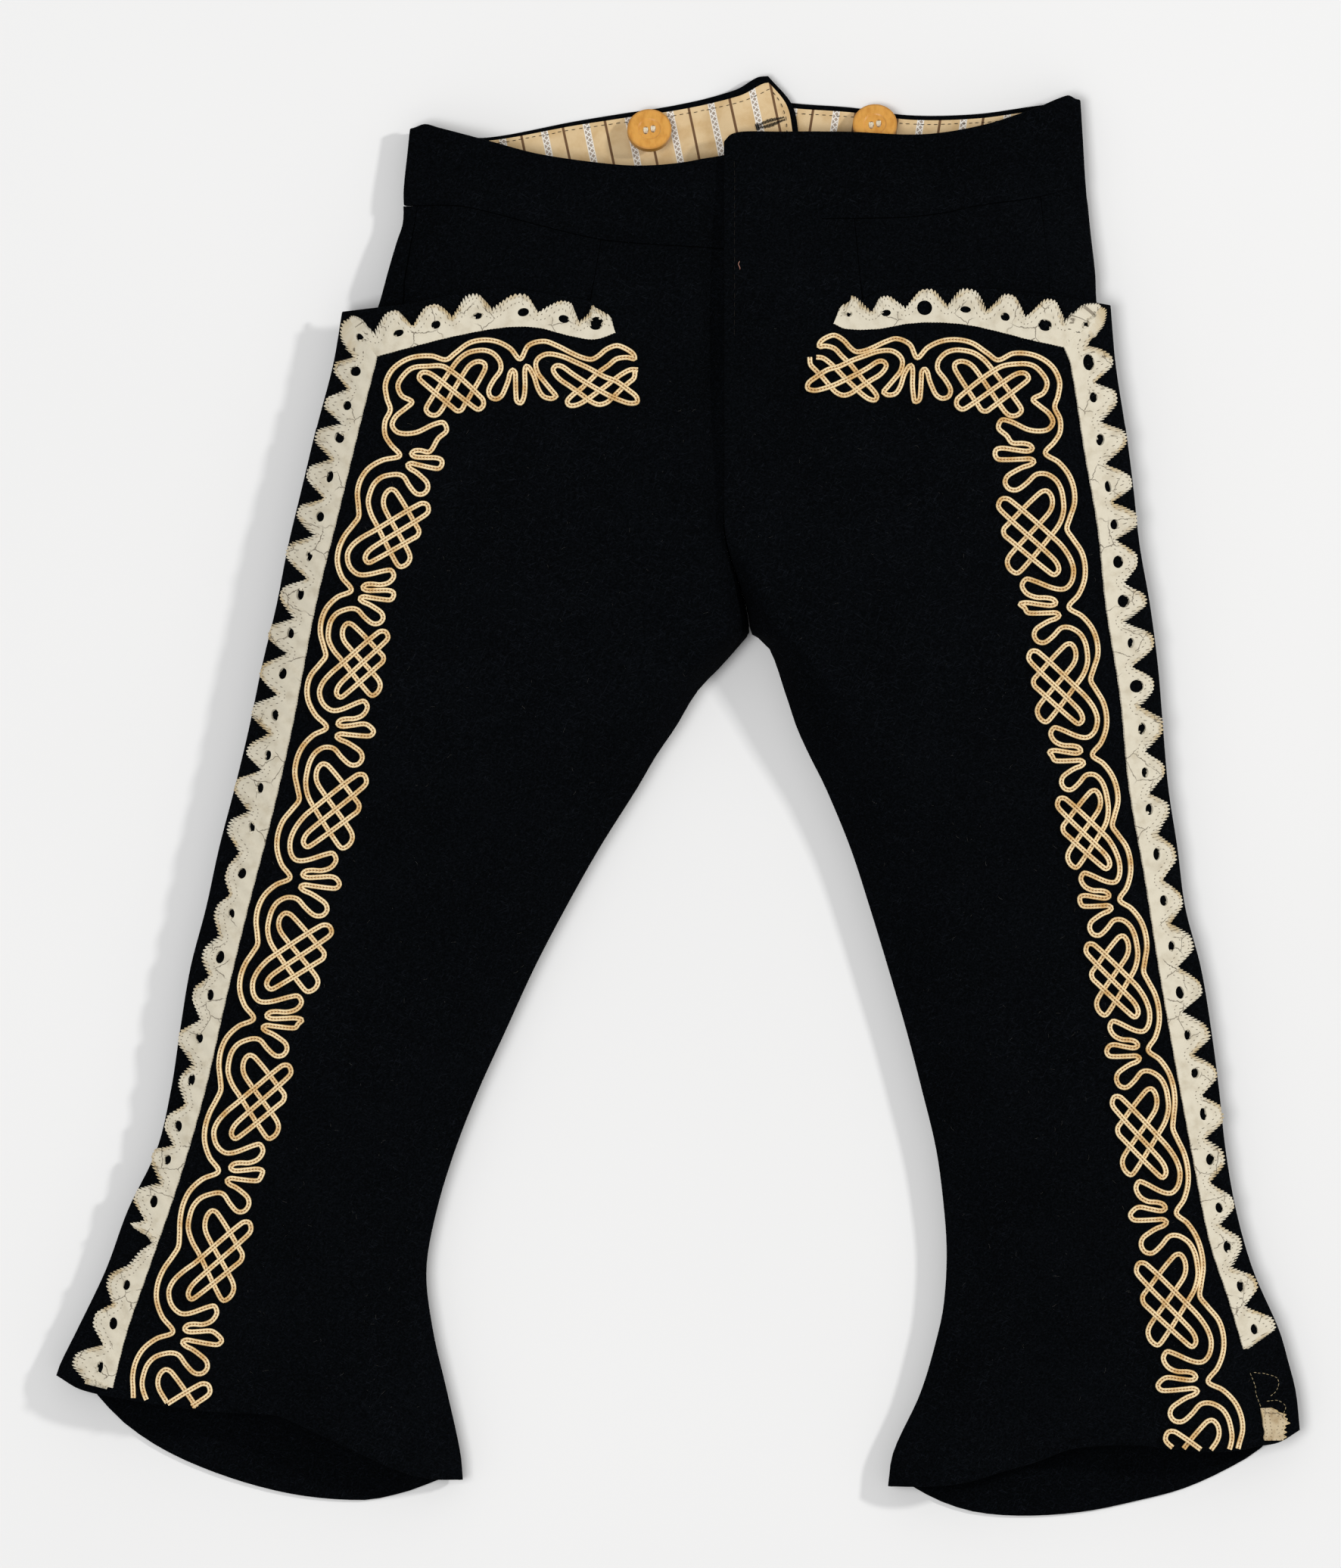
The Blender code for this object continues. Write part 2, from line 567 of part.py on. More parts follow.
def button(half):
    """Turned button with a sunk middle, leaning on its thread."""
    foot = BUTTON_PROFILE[1][0]
    shape = bmesh.new()
    verts = [shape.verts.new((x, 0, z)) for x, z in BUTTON_PROFILE]
    for a, b in zip(verts, verts[1:]):
        shape.edges.new((a, b))
    bmesh.ops.spin(shape, geom=shape.verts[:] + shape.edges[:], cent=(0, 0, 0), axis=(0, 0, 1),
                   angle=2 * math.pi, steps=18)
    bmesh.ops.remove_doubles(shape, verts=shape.verts, dist=0.01)
    bmesh.ops.recalc_face_normals(shape, faces=shape.faces)
    x, y = half.button
    tilt = math.radians(half.button_tilt)
    band_top = max(smooth(half.back_top, x - foot / 2), smooth(half.back_top, x + foot / 2))
    lining_edge = mix(BACK_SEAM_Y + GAP, band_top, LINING_TOP)
    drop = min(foot * math.sin(tilt), (lining_edge - y) * math.tan(tilt))
    seat = CLOTH + LINING + 2 * GAP + drop
    bmesh.ops.transform(shape, matrix=Matrix.Translation((x, y, seat)) @ Matrix.Rotation(-tilt, 4, "X"),
                        verts=shape.verts)
    return add_object(f"button_{half.name}", shape, "button")


def polyline(rows, step):
    """Points at even steps along the smooth curve through a list of places."""
    lengths = [0]
    for (x0, y0), (x1, y1) in zip(rows, rows[1:]):
        lengths.append(lengths[-1] + math.hypot(x1 - x0, y1 - y0))
    count = max(round(lengths[-1] / step), 1)
    xs = [(length, row[0]) for length, row in zip(lengths, rows)]
    ys = [(length, row[1]) for length, row in zip(lengths, rows)]
    return [(smooth(xs, lengths[-1] * i / count), smooth(ys, lengths[-1] * i / count)) for i in range(count + 1)]


def side_vector(points, place):
    """Unit vector to the left of a plan route at one of its points."""
    before, after = points[max(place - 1, 0)], points[min(place + 1, len(points) - 1)]
    dx, dy = after[0] - before[0], after[1] - before[1]
    length = math.hypot(dx, dy)
    return -dy / length, dx / length


def leather_strip(half, part, route, lobes_lost=()):
    """Leather strip with scalloped lobes on the outer side, mitred where pocket and leg strips meet."""
    points = polyline(route, LOBE_PITCH / 3)
    first_step = 0 if part == "pocket" else 1
    shares = (0, 0.4, 0.75, 1) if part == "pocket" else (0, 0.52, 1)
    outline = []
    for place, (x, y) in enumerate(points):
        side = side_vector(points, place)
        out = (-half.inward * side[0], -half.inward * side[1])
        lobe, step = divmod(place + first_step, 3)
        reach = LOST_REACH if lobe in lobes_lost and step else LOBE_REACH[step]
        if part == "leg":
            room = abs(x - smooth(half.leg_outer, y)) - TRIM_EDGE
            reach = min(reach, room / max(abs(out[0]), 0.5))
        outline.append((x, y, *out, reach))
    if part == "pocket":
        outline[-1:] = corner_fan(half, outline[-2], points[-1])
    else:
        outline[:1] = corner_fan(half, outline[1], points[0])[::-1]
    rows = []
    for x, y, dx, dy, reach in outline:
        rows.append([face_point(half, half.leg_outer, x + dx * reach * share, y + dy * reach * share,
                                TRIM_GAP + LEATHER) for share in shares])
    made = cloth_sheet(f"leather_{part}_{half.name}", rows, LEATHER, "leather", up=True)
    for number, size in enumerate(half.wide_eyelets.get(part, ())):
        cut_eyelet(made, half, points, number, size)
    return made


def corner_fan(half, straight, corner):
    """Rows that turn from a straight strip to the cut across the corner: x, y, direction and reach."""
    x, y, dx, dy, _ = straight
    target_x, target_y = smooth(half.leg_outer, half.mouth_ends[0]), half.mouth_ends[0]
    length = math.hypot(target_x - corner[0], target_y - corner[1])
    end_dx, end_dy = (target_x - corner[0]) / length, (target_y - corner[1]) / length
    fan = []
    for share, reach in CORNER_FAN:
        turn_dx, turn_dy = mix(dx, end_dx, share), mix(dy, end_dy, share)
        size = math.hypot(turn_dx, turn_dy)
        along = mix(FAN_START, FAN_END, share)
        base_x, base_y = mix(x, corner[0], along), mix(y, corner[1], along)
        fan.append((base_x, base_y, turn_dx / size, turn_dy / size, reach * length))
    return fan


def cut_eyelet(strip, half, points, number, size):
    """Cut one of the wide eyelets through the leather."""
    distance, along, across = size
    place = min(round(distance / (LOBE_PITCH / 3)), len(points) - 2)
    side = side_vector(points, place)
    reach = -half.inward * EYELET_REACH
    x, y = points[place]
    centre = face_point(half, half.leg_outer, x + side[0] * reach, y + side[1] * reach)
    shape = bmesh.new()
    bmesh.ops.create_cone(shape, cap_ends=True, segments=10, radius1=0.5, radius2=0.5, depth=4 * CLOTH)
    turn = Matrix.Rotation(math.atan2(-side[0], side[1]), 4, "Z")
    stretch = Matrix.Diagonal((along, across, 1, 1))
    bmesh.ops.transform(shape, matrix=Matrix.Translation(centre) @ turn @ stretch, verts=shape.verts)
    cutter = add_object(f"{strip.name}_eyelet_{number}", shape, "leather", "cutters")
    cutter.hide_render = True
    cutter.display_type = "WIRE"
    cut = strip.modifiers.new("eyelet", "BOOLEAN")
    cut.operation = "DIFFERENCE"
    cut.object = cutter


def knot_run(half, knots, depth):
    """Function that carries a repeat's number and an along, out place onto the panel."""
    xs = [(number, x) for number, (x, _) in enumerate(knots)]
    ys = [(number, y) for number, (_, y) in enumerate(knots)]
    step = 0.01

    def carry(number, place):
        along, out = place
        turns = number + (along + KNOT_LEAN * (out - KNOT_LEAN_CENTRE)) / KNOT_PITCH
        inside = min(max(turns, step), len(knots) - 1 - step)
        dx = (smooth(xs, inside + step) - smooth(xs, inside - step)) / (2 * step)
        dy = (smooth(ys, inside + step) - smooth(ys, inside - step)) / (2 * step)
        side = half.inward * out * depth / math.hypot(dx, dy)
        x = smooth(xs, inside) + (turns - inside) * dx + side * dy
        y = smooth(ys, inside) + (turns - inside) * dy - side * dx
        return x, y

    return carry


def mirrored(rows):
    """The second half of a repeat, from its middle to its end."""
    return [(KNOT_PITCH - along, out) for along, out in reversed(rows)]


def braid_level(place, count):
    """Height step of a lattice strand: the second half of the lattice lies over the first."""
    first = count + 1
    last = 2 * count - ARCH_END
    rise = ease(first - 2, first, place)
    fall = 1 - ease(last, last + 2, place)
    return rise * fall


def knot_route(carry, number, skip=0, stop=None):
    """Places and levels of one repeat of the knotwork."""
    count = len(HALF_KNOT)
    rows = HALF_KNOT + [KNOT_TURN] + mirrored(HALF_KNOT[1:])
    route = [(*carry(number, row), braid_level(place, count)) for place, row in enumerate(rows)]
    return route[skip:stop]


def corner_route(half):
    """The braid's way round the corner between the pocket and the leg."""
    if half is RIGHT:
        return [(x, y, 0.0) for x, y in CORNER_KNOT]
    middle = (LEFT.knots[0][0] + RIGHT.knots[0][0]) / 2
    return [(2 * middle - x, y - 1, 0.0) for x, y in CORNER_KNOT]


def braid(name, half, route):
    """Flat braid laid along a route of x, y, level places on the front."""
    plan = [(x, y) for x, y, _ in route]
    rings = []
    lift_step = BRAID_HEIGHT + GAP
    for place, (x, y, level) in enumerate(route):
        side = side_vector(plan, place)
        base = TRIM_GAP + lift_step * level
        ring = []
        for across, up in ((-0.5, 0), (0.5, 0), (0.36, 1), (-0.36, 1)):
            shift = across * BRAID_WIDTH
            ring.append(face_point(half, half.leg_outer, x + side[0] * shift, y + side[1] * shift,
                                   base + up * BRAID_HEIGHT))
        rings.append(ring)
    shape = bmesh.new()
    loops = [[shape.verts.new(point) for point in ring] for ring in rings]
    for ring, after in zip(loops, loops[1:]):
        for k in range(4):
            shape.faces.new((ring[k], ring[(k + 1) % 4], after[(k + 1) % 4], after[k]))
    shape.faces.new(loops[0][::-1])
    shape.faces.new(loops[-1])
    bmesh.ops.recalc_face_normals(shape, faces=shape.faces)
    return add_object(name, shape, "braid")


def above_hem(half, route):
    """The part of a route that lies on the front, down to its hem."""
    kept = []
    for x, y, level in route:
        if y < smooth(half.front_hem, x) + 1.5:
            break
        kept.append((x, y, level))
    return kept


def braid_line(half):
    """The braid's outer line: two bumps to each repeat, from the pocket's end to the hem."""
    rows = HALF_SCALLOP + [SCALLOP_KINK] + mirrored(HALF_SCALLOP)
    kink = len(HALF_SCALLOP)
    pocket = knot_run(half, half.pocket_knots, POCKET_DEPTH)
    route = [(*pocket(0, row), 0.0) for row in rows[kink - 2:-1]]
    route += [(*pocket(1, row), 0.0) for row in rows[:kink + 1]]
    x, y = half.knots[0]
    route += [(x - half.inward * across, y + up, 0.0) for across, up in CORNER_LINE]
    leg = knot_run(half, half.knots, 1)
    for number in range(len(half.knots) - 1):
        route += [(*leg(number, row), 0.0) for row in rows[:-1]]
    return braid(f"braid_line_{half.name}", half, above_hem(half, route))


def braid_knots(half):
    """The braid's inner run: fingers, arches and lattice knots, from the pocket's end to the hem."""
    pocket = knot_run(half, half.pocket_knots, POCKET_DEPTH)
    route = knot_route(pocket, 0, skip=ARCH_END, stop=-1)
    route += knot_route(pocket, 1, stop=2 * len(HALF_KNOT) - ARCH_END + 1)
    route += corner_route(half)
    leg = knot_run(half, half.knots, 1)
    route += [(*leg(0, (-along, out)), 0.0) for along, out in reversed(HALF_KNOT[1:7])]
    for number in range(len(half.knots) - 1):
        route += knot_route(leg, number, stop=-1)
    return braid(f"braid_knots_{half.name}", half, above_hem(half, route))


def leather_scrap():
    """The scrap of the right leg's leather that is left at the hem."""
    rows = []
    for x, y, width in ((224.5, -247, 7), (224.3, -243, 7.5), (223.8, -239, 9), (222.8, -235, 6.5)):
        places = (x, x + width / 2, x + width)
        rows.append([face_point(RIGHT, RIGHT.leg_outer, place, y, TRIM_GAP + LEATHER) for place in places])
    return cloth_sheet("leather_scrap_right", rows, LEATHER, "leather", up=True)


def build():
    """Make every piece of both halves."""
    for old in list(bpy.data.objects):
        bpy.data.objects.remove(old, do_unlink=True)
    for name in ("trousers", "cutters"):
        bpy.context.scene.collection.children.link(bpy.data.collections.new(name))
    for half in (LEFT, RIGHT):
        front_panel(half)
        hip_piece(half)
        back_panel(half)
        front_band(half)
        back_band(half)
        back_lining(half)
        button(half)
        leather_strip(half, "pocket", half.leather_pocket)
        leather_strip(half, "leg", half.leather_leg, half.lost_lobes)
        braid_line(half)
        braid_knots(half)
    leather_scrap()


build()
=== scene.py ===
"""Looks of a child's riding trousers that lie flat, front up.

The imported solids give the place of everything. Each soft piece here is a finer shell on the form of its solid, with
its creases, edges, stitches and cloth. X runs across the garment, Y from the hems to the waist and Z up. Left and
right are the viewer's. Tables and sizes are in millimetres, and meshes are made in metres.
"""

import logging
import math
from collections.abc import Callable
from dataclasses import dataclass, field
from enum import Enum

import bmesh
import bpy
import numpy as np
from bpy.types import Material, Mesh, Node, NodeSocket, NodeTree, Object
from mathutils import Matrix, Vector

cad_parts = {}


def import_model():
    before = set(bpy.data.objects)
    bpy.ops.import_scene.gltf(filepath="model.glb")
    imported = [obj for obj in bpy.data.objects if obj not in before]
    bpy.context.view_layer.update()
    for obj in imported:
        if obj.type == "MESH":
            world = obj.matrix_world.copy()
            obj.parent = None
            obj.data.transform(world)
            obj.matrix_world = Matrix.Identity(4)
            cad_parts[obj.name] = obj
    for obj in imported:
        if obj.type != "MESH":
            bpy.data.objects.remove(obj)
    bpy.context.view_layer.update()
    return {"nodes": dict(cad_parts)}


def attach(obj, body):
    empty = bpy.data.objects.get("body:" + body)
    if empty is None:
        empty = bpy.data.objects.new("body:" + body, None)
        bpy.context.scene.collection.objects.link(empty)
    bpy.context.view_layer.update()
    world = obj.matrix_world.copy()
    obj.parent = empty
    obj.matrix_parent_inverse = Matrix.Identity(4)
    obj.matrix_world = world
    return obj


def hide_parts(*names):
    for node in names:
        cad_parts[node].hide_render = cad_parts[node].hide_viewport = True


LOG = logging.getLogger("trousers")
MM = 0.001

# Thicknesses, and the clearance at a seam
CLOTH = 1.5
BAND = 2.4
LINING = 1.0
LEATHER = 1.0
GAP = 0.12
LINING_LIFT = 0.35

OUTER_ROLL = 34.0
ROLL_POWER = 2.2
CROTCH_Y = 62.0
VALLEY_TOP_Y = 105.0
FLY_X = 17.5
FLY_UNDERLAP = 9.5
FLY_DIP = 2.7
FLY_DIP_START = 7.0
FLY_DIP_END = 13.5
MOUTH_Y = 189.0
POCKET_FACING = 15.0
TUCK_START = 2.0
TUCK_END = 9.0
SIDE_TUCK = 6.0
BACK_SEAM_Y = 226.0
SEAT_ROLL = 9.0
LINING_TOP = 0.95
TAB_RISE_START = 8.0
TAB_RISE_END = 24.0

# One repeat of the braid's knotwork: along, out. A finger and the next one, the arch, three strands of the lattice,
# three that cross over them, the second arch and the last finger
KNOT_PITCH = 59.4
KNOT = ((-2.3, -19.2), (-0.5, -18.4), (0.2, -15.8), (1.0, -9.0), (1.4, -5.9), (2.6, -4.7), (3.6, -6.4), (4.0, -9.0),
    (5.0, -12.3), (6.6, -15.8), (8.9, -17.0), (11.4, -15.8), (12.2, -12.9), (10.2, -8.7), (7.8, -5.3), (7.4, -3.2),
    (8.2, -0.3), (10.8, 2.6), (14.2, 4.0), (17.9, 4.3), (22.5, 3.8), (26.7, 1.8), (30.0, -1.2), (42.0, -15.1),
    (43.4, -17.8), (41.4, -20.2), (38.4, -20.7), (35.7, -18.7), (23.3, -2.8), (20.3, -0.5), (16.8, -0.1), (14.3, -1.6),
    (14.6, -4.3), (24.6, -18.3), (26.2, -20.2), (28.3, -20.3), (30.4, -18.6), (44.4, -5.9), (46.2, -3.6), (44.8, -1.7),
    (41.7, -2.1), (37.5, -5.0), (20.0, -19.5), (17.2, -20.9), (14.8, -19.2), (15.6, -16.2), (33.3, -0.9), (37.5, 1.9),
    (41.7, 3.7), (45.8, 4.1), (50.0, 2.5), (52.1, -0.5), (51.3, -4.5), (47.0, -12.2), (46.2, -14.6), (48.3, -16.5),
    (51.5, -15.3), (53.6, -12.0), (54.5, -7.8), (55.5, -5.4), (57.1, -4.6), (57.7, -6.5), (56.5, -11.2), (55.1, -16.0),
    (55.3, -18.4))
# Rows at which the lattice's crossing strands start and end, and the last row before the next repeat's first finger
OVER_START = 35
OVER_END = 46
LAST_FINGER = 57
KNOT_DEEP = 20.7
KNOT_ARCH = 4.3
POCKET_LEAN = -0.12
POCKET_SQUEEZE = 0.16
SQUEEZE_FROM = 12.0
# For each repeat down the leg: first bump, kink and second bump of the outer line, depth of the lattice, the arches
LEFT_REPEATS = ((10.7, 6.3, 9.2, 17.6, 5.6), (8.6, 4.8, 10.0, 17.4, 5.3), (8.4, 3.9, 8.5, 19.3, 3.5),
    (8.9, 5.6, 8.7, 20.4, 3.8), (9.4, 6.2, 8.9, 18.4, 5.5), (9.8, 7.2, 10.8, 17.6, 6.2), (10.1, 6.5, 9.4, 20.3, 5.8))
RIGHT_REPEATS = ((8.7, 3.8, 8.5, 20.6, 4.1), (8.6, 4.0, 7.8, 18.0, 4.3), (6.9, 2.6, 6.8, 16.4, 2.6),
    (7.2, 3.8, 6.8, 16.2, 3.2), (7.0, 4.2, 7.2, 17.0, 4.2), (6.8, 3.2, 9.2, 18.8, 4.4), (9.4, 4.2, 8.4, 20.6, 4.6))
POCKET_REPEAT = (8.0, 2.2, 6.9, 18.2, 4.2)
# The outer line over half a repeat: along, and its rise from the kinks to the bump
HALF_BUMP = ((0.0, 0.0), (4.2, 0.5), (9.3, 0.85), (14.8, 1.0), (20.4, 0.9), (26.0, 0.35))
# The braid's two ends at the right pocket's inner end, up to the first whole repeat: x, y
END_LINE = ((52.6, 167.7), (55.1, 167.4), (57.9, 165.4), (60.7, 162.7), (63.4, 159.9), (66.8, 156.6), (70.1, 153.5),
    (72.9, 151.6), (75.1, 151.3), (75.8, 152.7), (74.0, 155.4), (71.2, 158.2), (68.4, 161.6), (65.7, 164.9),
    (62.3, 168.2), (59.6, 171.0), (56.2, 172.0), (53.7, 171.8), (54.2, 173.6), (56.8, 175.4), (59.6, 176.1),
    (62.9, 174.3), (65.7, 171.3), (67.9, 169.8), (71.2, 170.2), (74.5, 171.5), (79.0, 173.6), (83.4, 174.8),
    (88.4, 172.6))
END_KNOT = ((50.1, 167.7), (50.4, 164.9), (52.4, 162.7), (55.1, 159.9), (57.9, 156.6), (60.1, 154.3), (62.9, 153.1),
    (65.7, 153.8), (69.0, 156.0), (73.4, 158.8), (77.3, 161.3), (79.4, 164.3), (78.4, 166.0), (76.2, 166.0),
    (72.3, 163.5), (68.4, 161.3), (63.4, 158.8), (59.0, 156.8), (55.1, 155.5), (51.8, 154.9), (49.3, 155.7),
    (49.6, 157.7), (52.4, 159.9), (56.8, 162.7), (61.2, 164.0), (66.2, 166.3), (71.2, 168.2), (76.2, 169.9),
    (81.2, 170.2), (84.3, 168.5), (85.6, 166.0), (84.8, 162.4), (82.9, 159.9), (80.1, 156.6), (78.2, 154.4),
    (78.4, 154.1), (80.1, 153.2), (82.9, 153.8), (84.8, 156.6), (86.2, 161.0), (87.9, 164.0), (89.0, 164.6),
    (89.5, 162.7), (89.4, 157.1), (89.8, 152.7))
END_OVER = (13, 25)
END_FROM = 91.2
CORNER_LINE = ((-12, 38.2), (-4, 37.4), (2.4, 33.4), (5.4, 27.6), (4.9, 22), (3.6, 17.6), (5.6, 13), (5.6, 8),
    (3.4, 4.2))
CORNER_KNOT = ((130.8, 165.2), (135.8, 164.5), (139.2, 161.6), (141.2, 157.8), (139.8, 154.0), (135.8, 151.6),
    (138.2, 149.2), (142.0, 146.0), (143.4, 142.6), (141.0, 139.8), (134.6, 139.8), (127.4, 143.0), (123.8, 143.6),
    (122.6, 140.6), (125.8, 137.6))

# Leather lobes: distance of the tip along the strip and its reach, then those of the valley after it
LEFT_POCKET_LOBES = ((6.5, 12.2, 15.6, 5.6), (23.0, 12.1, 31.0, 5.6), (37.2, 12.1, 47.2, 7.0), (53.0, 13.8, 62.0, 7.2),
    (68.4, 13.5, 77.0, 7.6), (83.2, 14.8, 91.6, 8.4))
RIGHT_POCKET_LOBES = ((5.5, 12.3, 15.2, 6.4), (22.8, 11.5, 28.8, 5.9), (36.6, 12.4, 43.8, 6.4), (50.6, 13.2, 57.8, 6.5),
    (65.0, 14.5, 72.4, 8.0), (81.0, 16.4, 87.6, 9.2))
LEFT_LEG_LOBES = ((8.0, 14.2, 14.8, 7.3), (22.2, 14.2, 28.2, 6.4), (34.5, 14.4, 42.3, 7.2), (49.2, 14.5, 57.6, 6.4),
    (64.6, 14.4, 72.3, 6.3), (80.4, 14.7, 89.0, 5.2), (96.2, 13.2, 104.6, 6.6), (111.6, 15.1, 118.2, 6.6),
    (126.6, 15.3, 134.5, 7.5), (142.2, 15.5, 149.6, 7.4), (158.2, 14.0, 164.2, 7.1), (172.0, 16.0, 180.8, 8.0),
    (188.0, 14.3, 197.2, 7.9), (205.4, 10.8, 213.5, 7.6), (220.6, 11.0, 230.0, 7.5), (237.6, 11.6, 245.8, 7.8),
    (253.2, 12.0, 262.6, 7.4), (270.8, 13.8, 280.0, 6.3), (287.0, 9.5, 295.8, 5.7), (305.0, 10.8, 312.4, 5.6),
    (318.4, 12.2, 328.0, 5.8), (335.8, 13.7, 343.4, 7.4), (350.0, 12.5, 361.5, 7.0), (370.4, 12.6, 377.8, 7.8),
    (385.0, 13.0, 393.2, 7.0), (401.6, 16.4, 408.6, 9.5))
# A lobe's flanks: share of the way along, and share of the rise or fall
LOBE_RISE = ((0.16, 0.17), (0.43, 0.57), (0.7, 0.92), (1, 1))
LOBE_FALL = ((0.28, 0.93), (0.57, 0.57), (0.86, 0.17), (1, 0))
# Round the strip's corner: share of the turn, and share of the corner's length
CORNER_FAN = ((0.1, 0.62), (0.35, 0.83), (0.6, 0.95), (0.8, 1.01), (1.0, 0.98))
LOST_LOBE = ((345.2, 9.0), (346.6, 11.6), (347.4, 8.4), (347.8, 5.2), (349.2, 2.4), (351.0, 1.0), (353.0, 3.0),
    (355.6, 4.9), (358.6, 5.9))
RIGHT_LEG_LOBES = ((8.0, 15.6, 15.3, 7.5), (22.0, 14.6, 30.4, 7.2), (38.2, 15.8, 46.8, 6.7), (55.8, 15.2, 61.6, 6.6),
    (69.8, 14.6, 75.6, 5.9), (84.4, 13.0, 92.4, 7.5), (100.6, 14.6, 107.6, 5.4), (117.2, 15.2, 125.0, 5.9),
    (133.0, 12.6, 140.0, 6.3), (148.4, 14.3, 157.2, 6.9), (165.6, 13.6, 174.0, 6.5), (181.0, 12.9, 190.2, 6.6),
    (198.8, 12.6, 207.6, 5.8), (216.2, 12.3, 224.6, 5.8), (233.2, 13.6, 241.4, 6.6), (251.2, 14.3, 258.6, 5.5),
    (268.4, 13.8, 275.6, 6.6), (284.0, 14.1, 291.8, 7.5), (299.8, 14.3, 308.2, 5.7), (316.6, 11.0, 325.0, 4.5),
    (335.2, 11.5, 341.8, 4.9), (351.6, 10.6, 359.4, 4.5), (368.6, 11.5, 375.0, 4.8), (385.6, 13.5, 390.6, 1.2))


def linear(hex_colour: str) -> tuple[float, float, float, float]:
    """Turn an sRGB hex colour into the linear colour that a shader takes.

    Args:
        hex_colour: Six hex digits, with or without a leading hash.

    Returns:
        Red, green, blue and an alpha of 1.
    """
    digits = hex_colour.lstrip("#")
    parts = [int(digits[place:place + 2], 16) / 255 for place in (0, 2, 4)]
    return (*(part / 12.92 if part <= 0.04045 else ((part + 0.055) / 1.055) ** 2.4 for part in parts), 1.0)


def mix(start: float, end: float, share: float) -> float:
    """Value at a share of the way from start to end; all three may be arrays."""
    return start + (end - start) * share


def ease(start: float, end: float, value: np.ndarray) -> np.ndarray:
    """0 before start, 1 after end, and a smooth slope between."""
    t = np.clip((value - start) / (end - start), 0, 1)
    return t * t * (3 - 2 * t)


def swell(distance: np.ndarray, width: np.ndarray) -> np.ndarray:
    """Share of the full height at a distance in from an edge."""
    return 1 - (1 - np.clip(distance / width, 0, 1)) ** ROLL_POWER


@dataclass(frozen=True)
class Curve:
    """Smooth curve through the rows of a table: place, value."""

    rows: tuple

    def __call__(self, place: np.ndarray) -> np.ndarray:
        """Value of the curve at one place or at an array of them.

        Args:
            place: The place or places; outside the table its ends hold.

        Returns:
            The value or values there.
        """
        xs, ys = np.array(sorted(self.rows), float).T
        last = len(xs) - 1
        order = np.arange(last + 1)
        after, before = np.minimum(order + 1, last), np.maximum(order - 1, 0)
        slopes = (ys[after] - ys[before]) / (xs[after] - xs[before])
        place = np.clip(place, xs[0], xs[-1])
        low = np.clip(np.searchsorted(xs, place, side="left") - 1, 0, last - 1)
        span = xs[low + 1] - xs[low]
        t = (place - xs[low]) / span
        return (ys[low] * (2 * t**3 - 3 * t**2 + 1) + slopes[low] * span * (t**3 - 2 * t**2 + t)
                + ys[low + 1] * (3 * t**2 - 2 * t**3) + slopes[low + 1] * span * (t**3 - t**2))


CROWN = Curve(((-268, 18), (-230, 19), (-160, 20), (-80, 23), (0, 26), (70, 28), (130, 27), (190, 23), (225, 18),
    (255, 14), (275, 13)))
SIDE_SEAM = Curve(((-268, 7), (-200, 8), (0, 9), (190, 9), (225, 7), (275, 5)))
INNER_ROLL = Curve(((-268, 40), (-60, 40), (10, 34), (40, 22), (62, 12), (105, 8)))


@dataclass(frozen=True)
class Crease:
    """A soft trough in the cloth, or with a depth below zero a ridge."""

    start: tuple[float, float]
    end: tuple[float, float]
    bow: float
    width: float
    depth: float

    def relief(self, x: np.ndarray, y: np.ndarray) -> np.ndarray:
        """How far the crease lowers the cloth.

        Args:
            x: Places across the garment.
            y: Places along it.

        Returns:
            Depths at the places.
        """
        dx, dy = self.end[0] - self.start[0], self.end[1] - self.start[1]
        length = math.hypot(dx, dy)
        along = ((x - self.start[0]) * dx + (y - self.start[1]) * dy) / length**2
        off = ((x - self.start[0]) * -dy + (y - self.start[1]) * dx) / length
        inside = np.clip(along, 0, 1)
        off = off - self.bow * 4 * inside * (1 - inside)
        past = (along - inside) * length
        taper = np.sin(np.pi * np.clip(along, 0.02, 0.98)) ** 0.7
        return self.depth * taper * np.exp(-(off / self.width) ** 2 - (past / self.width) ** 2)


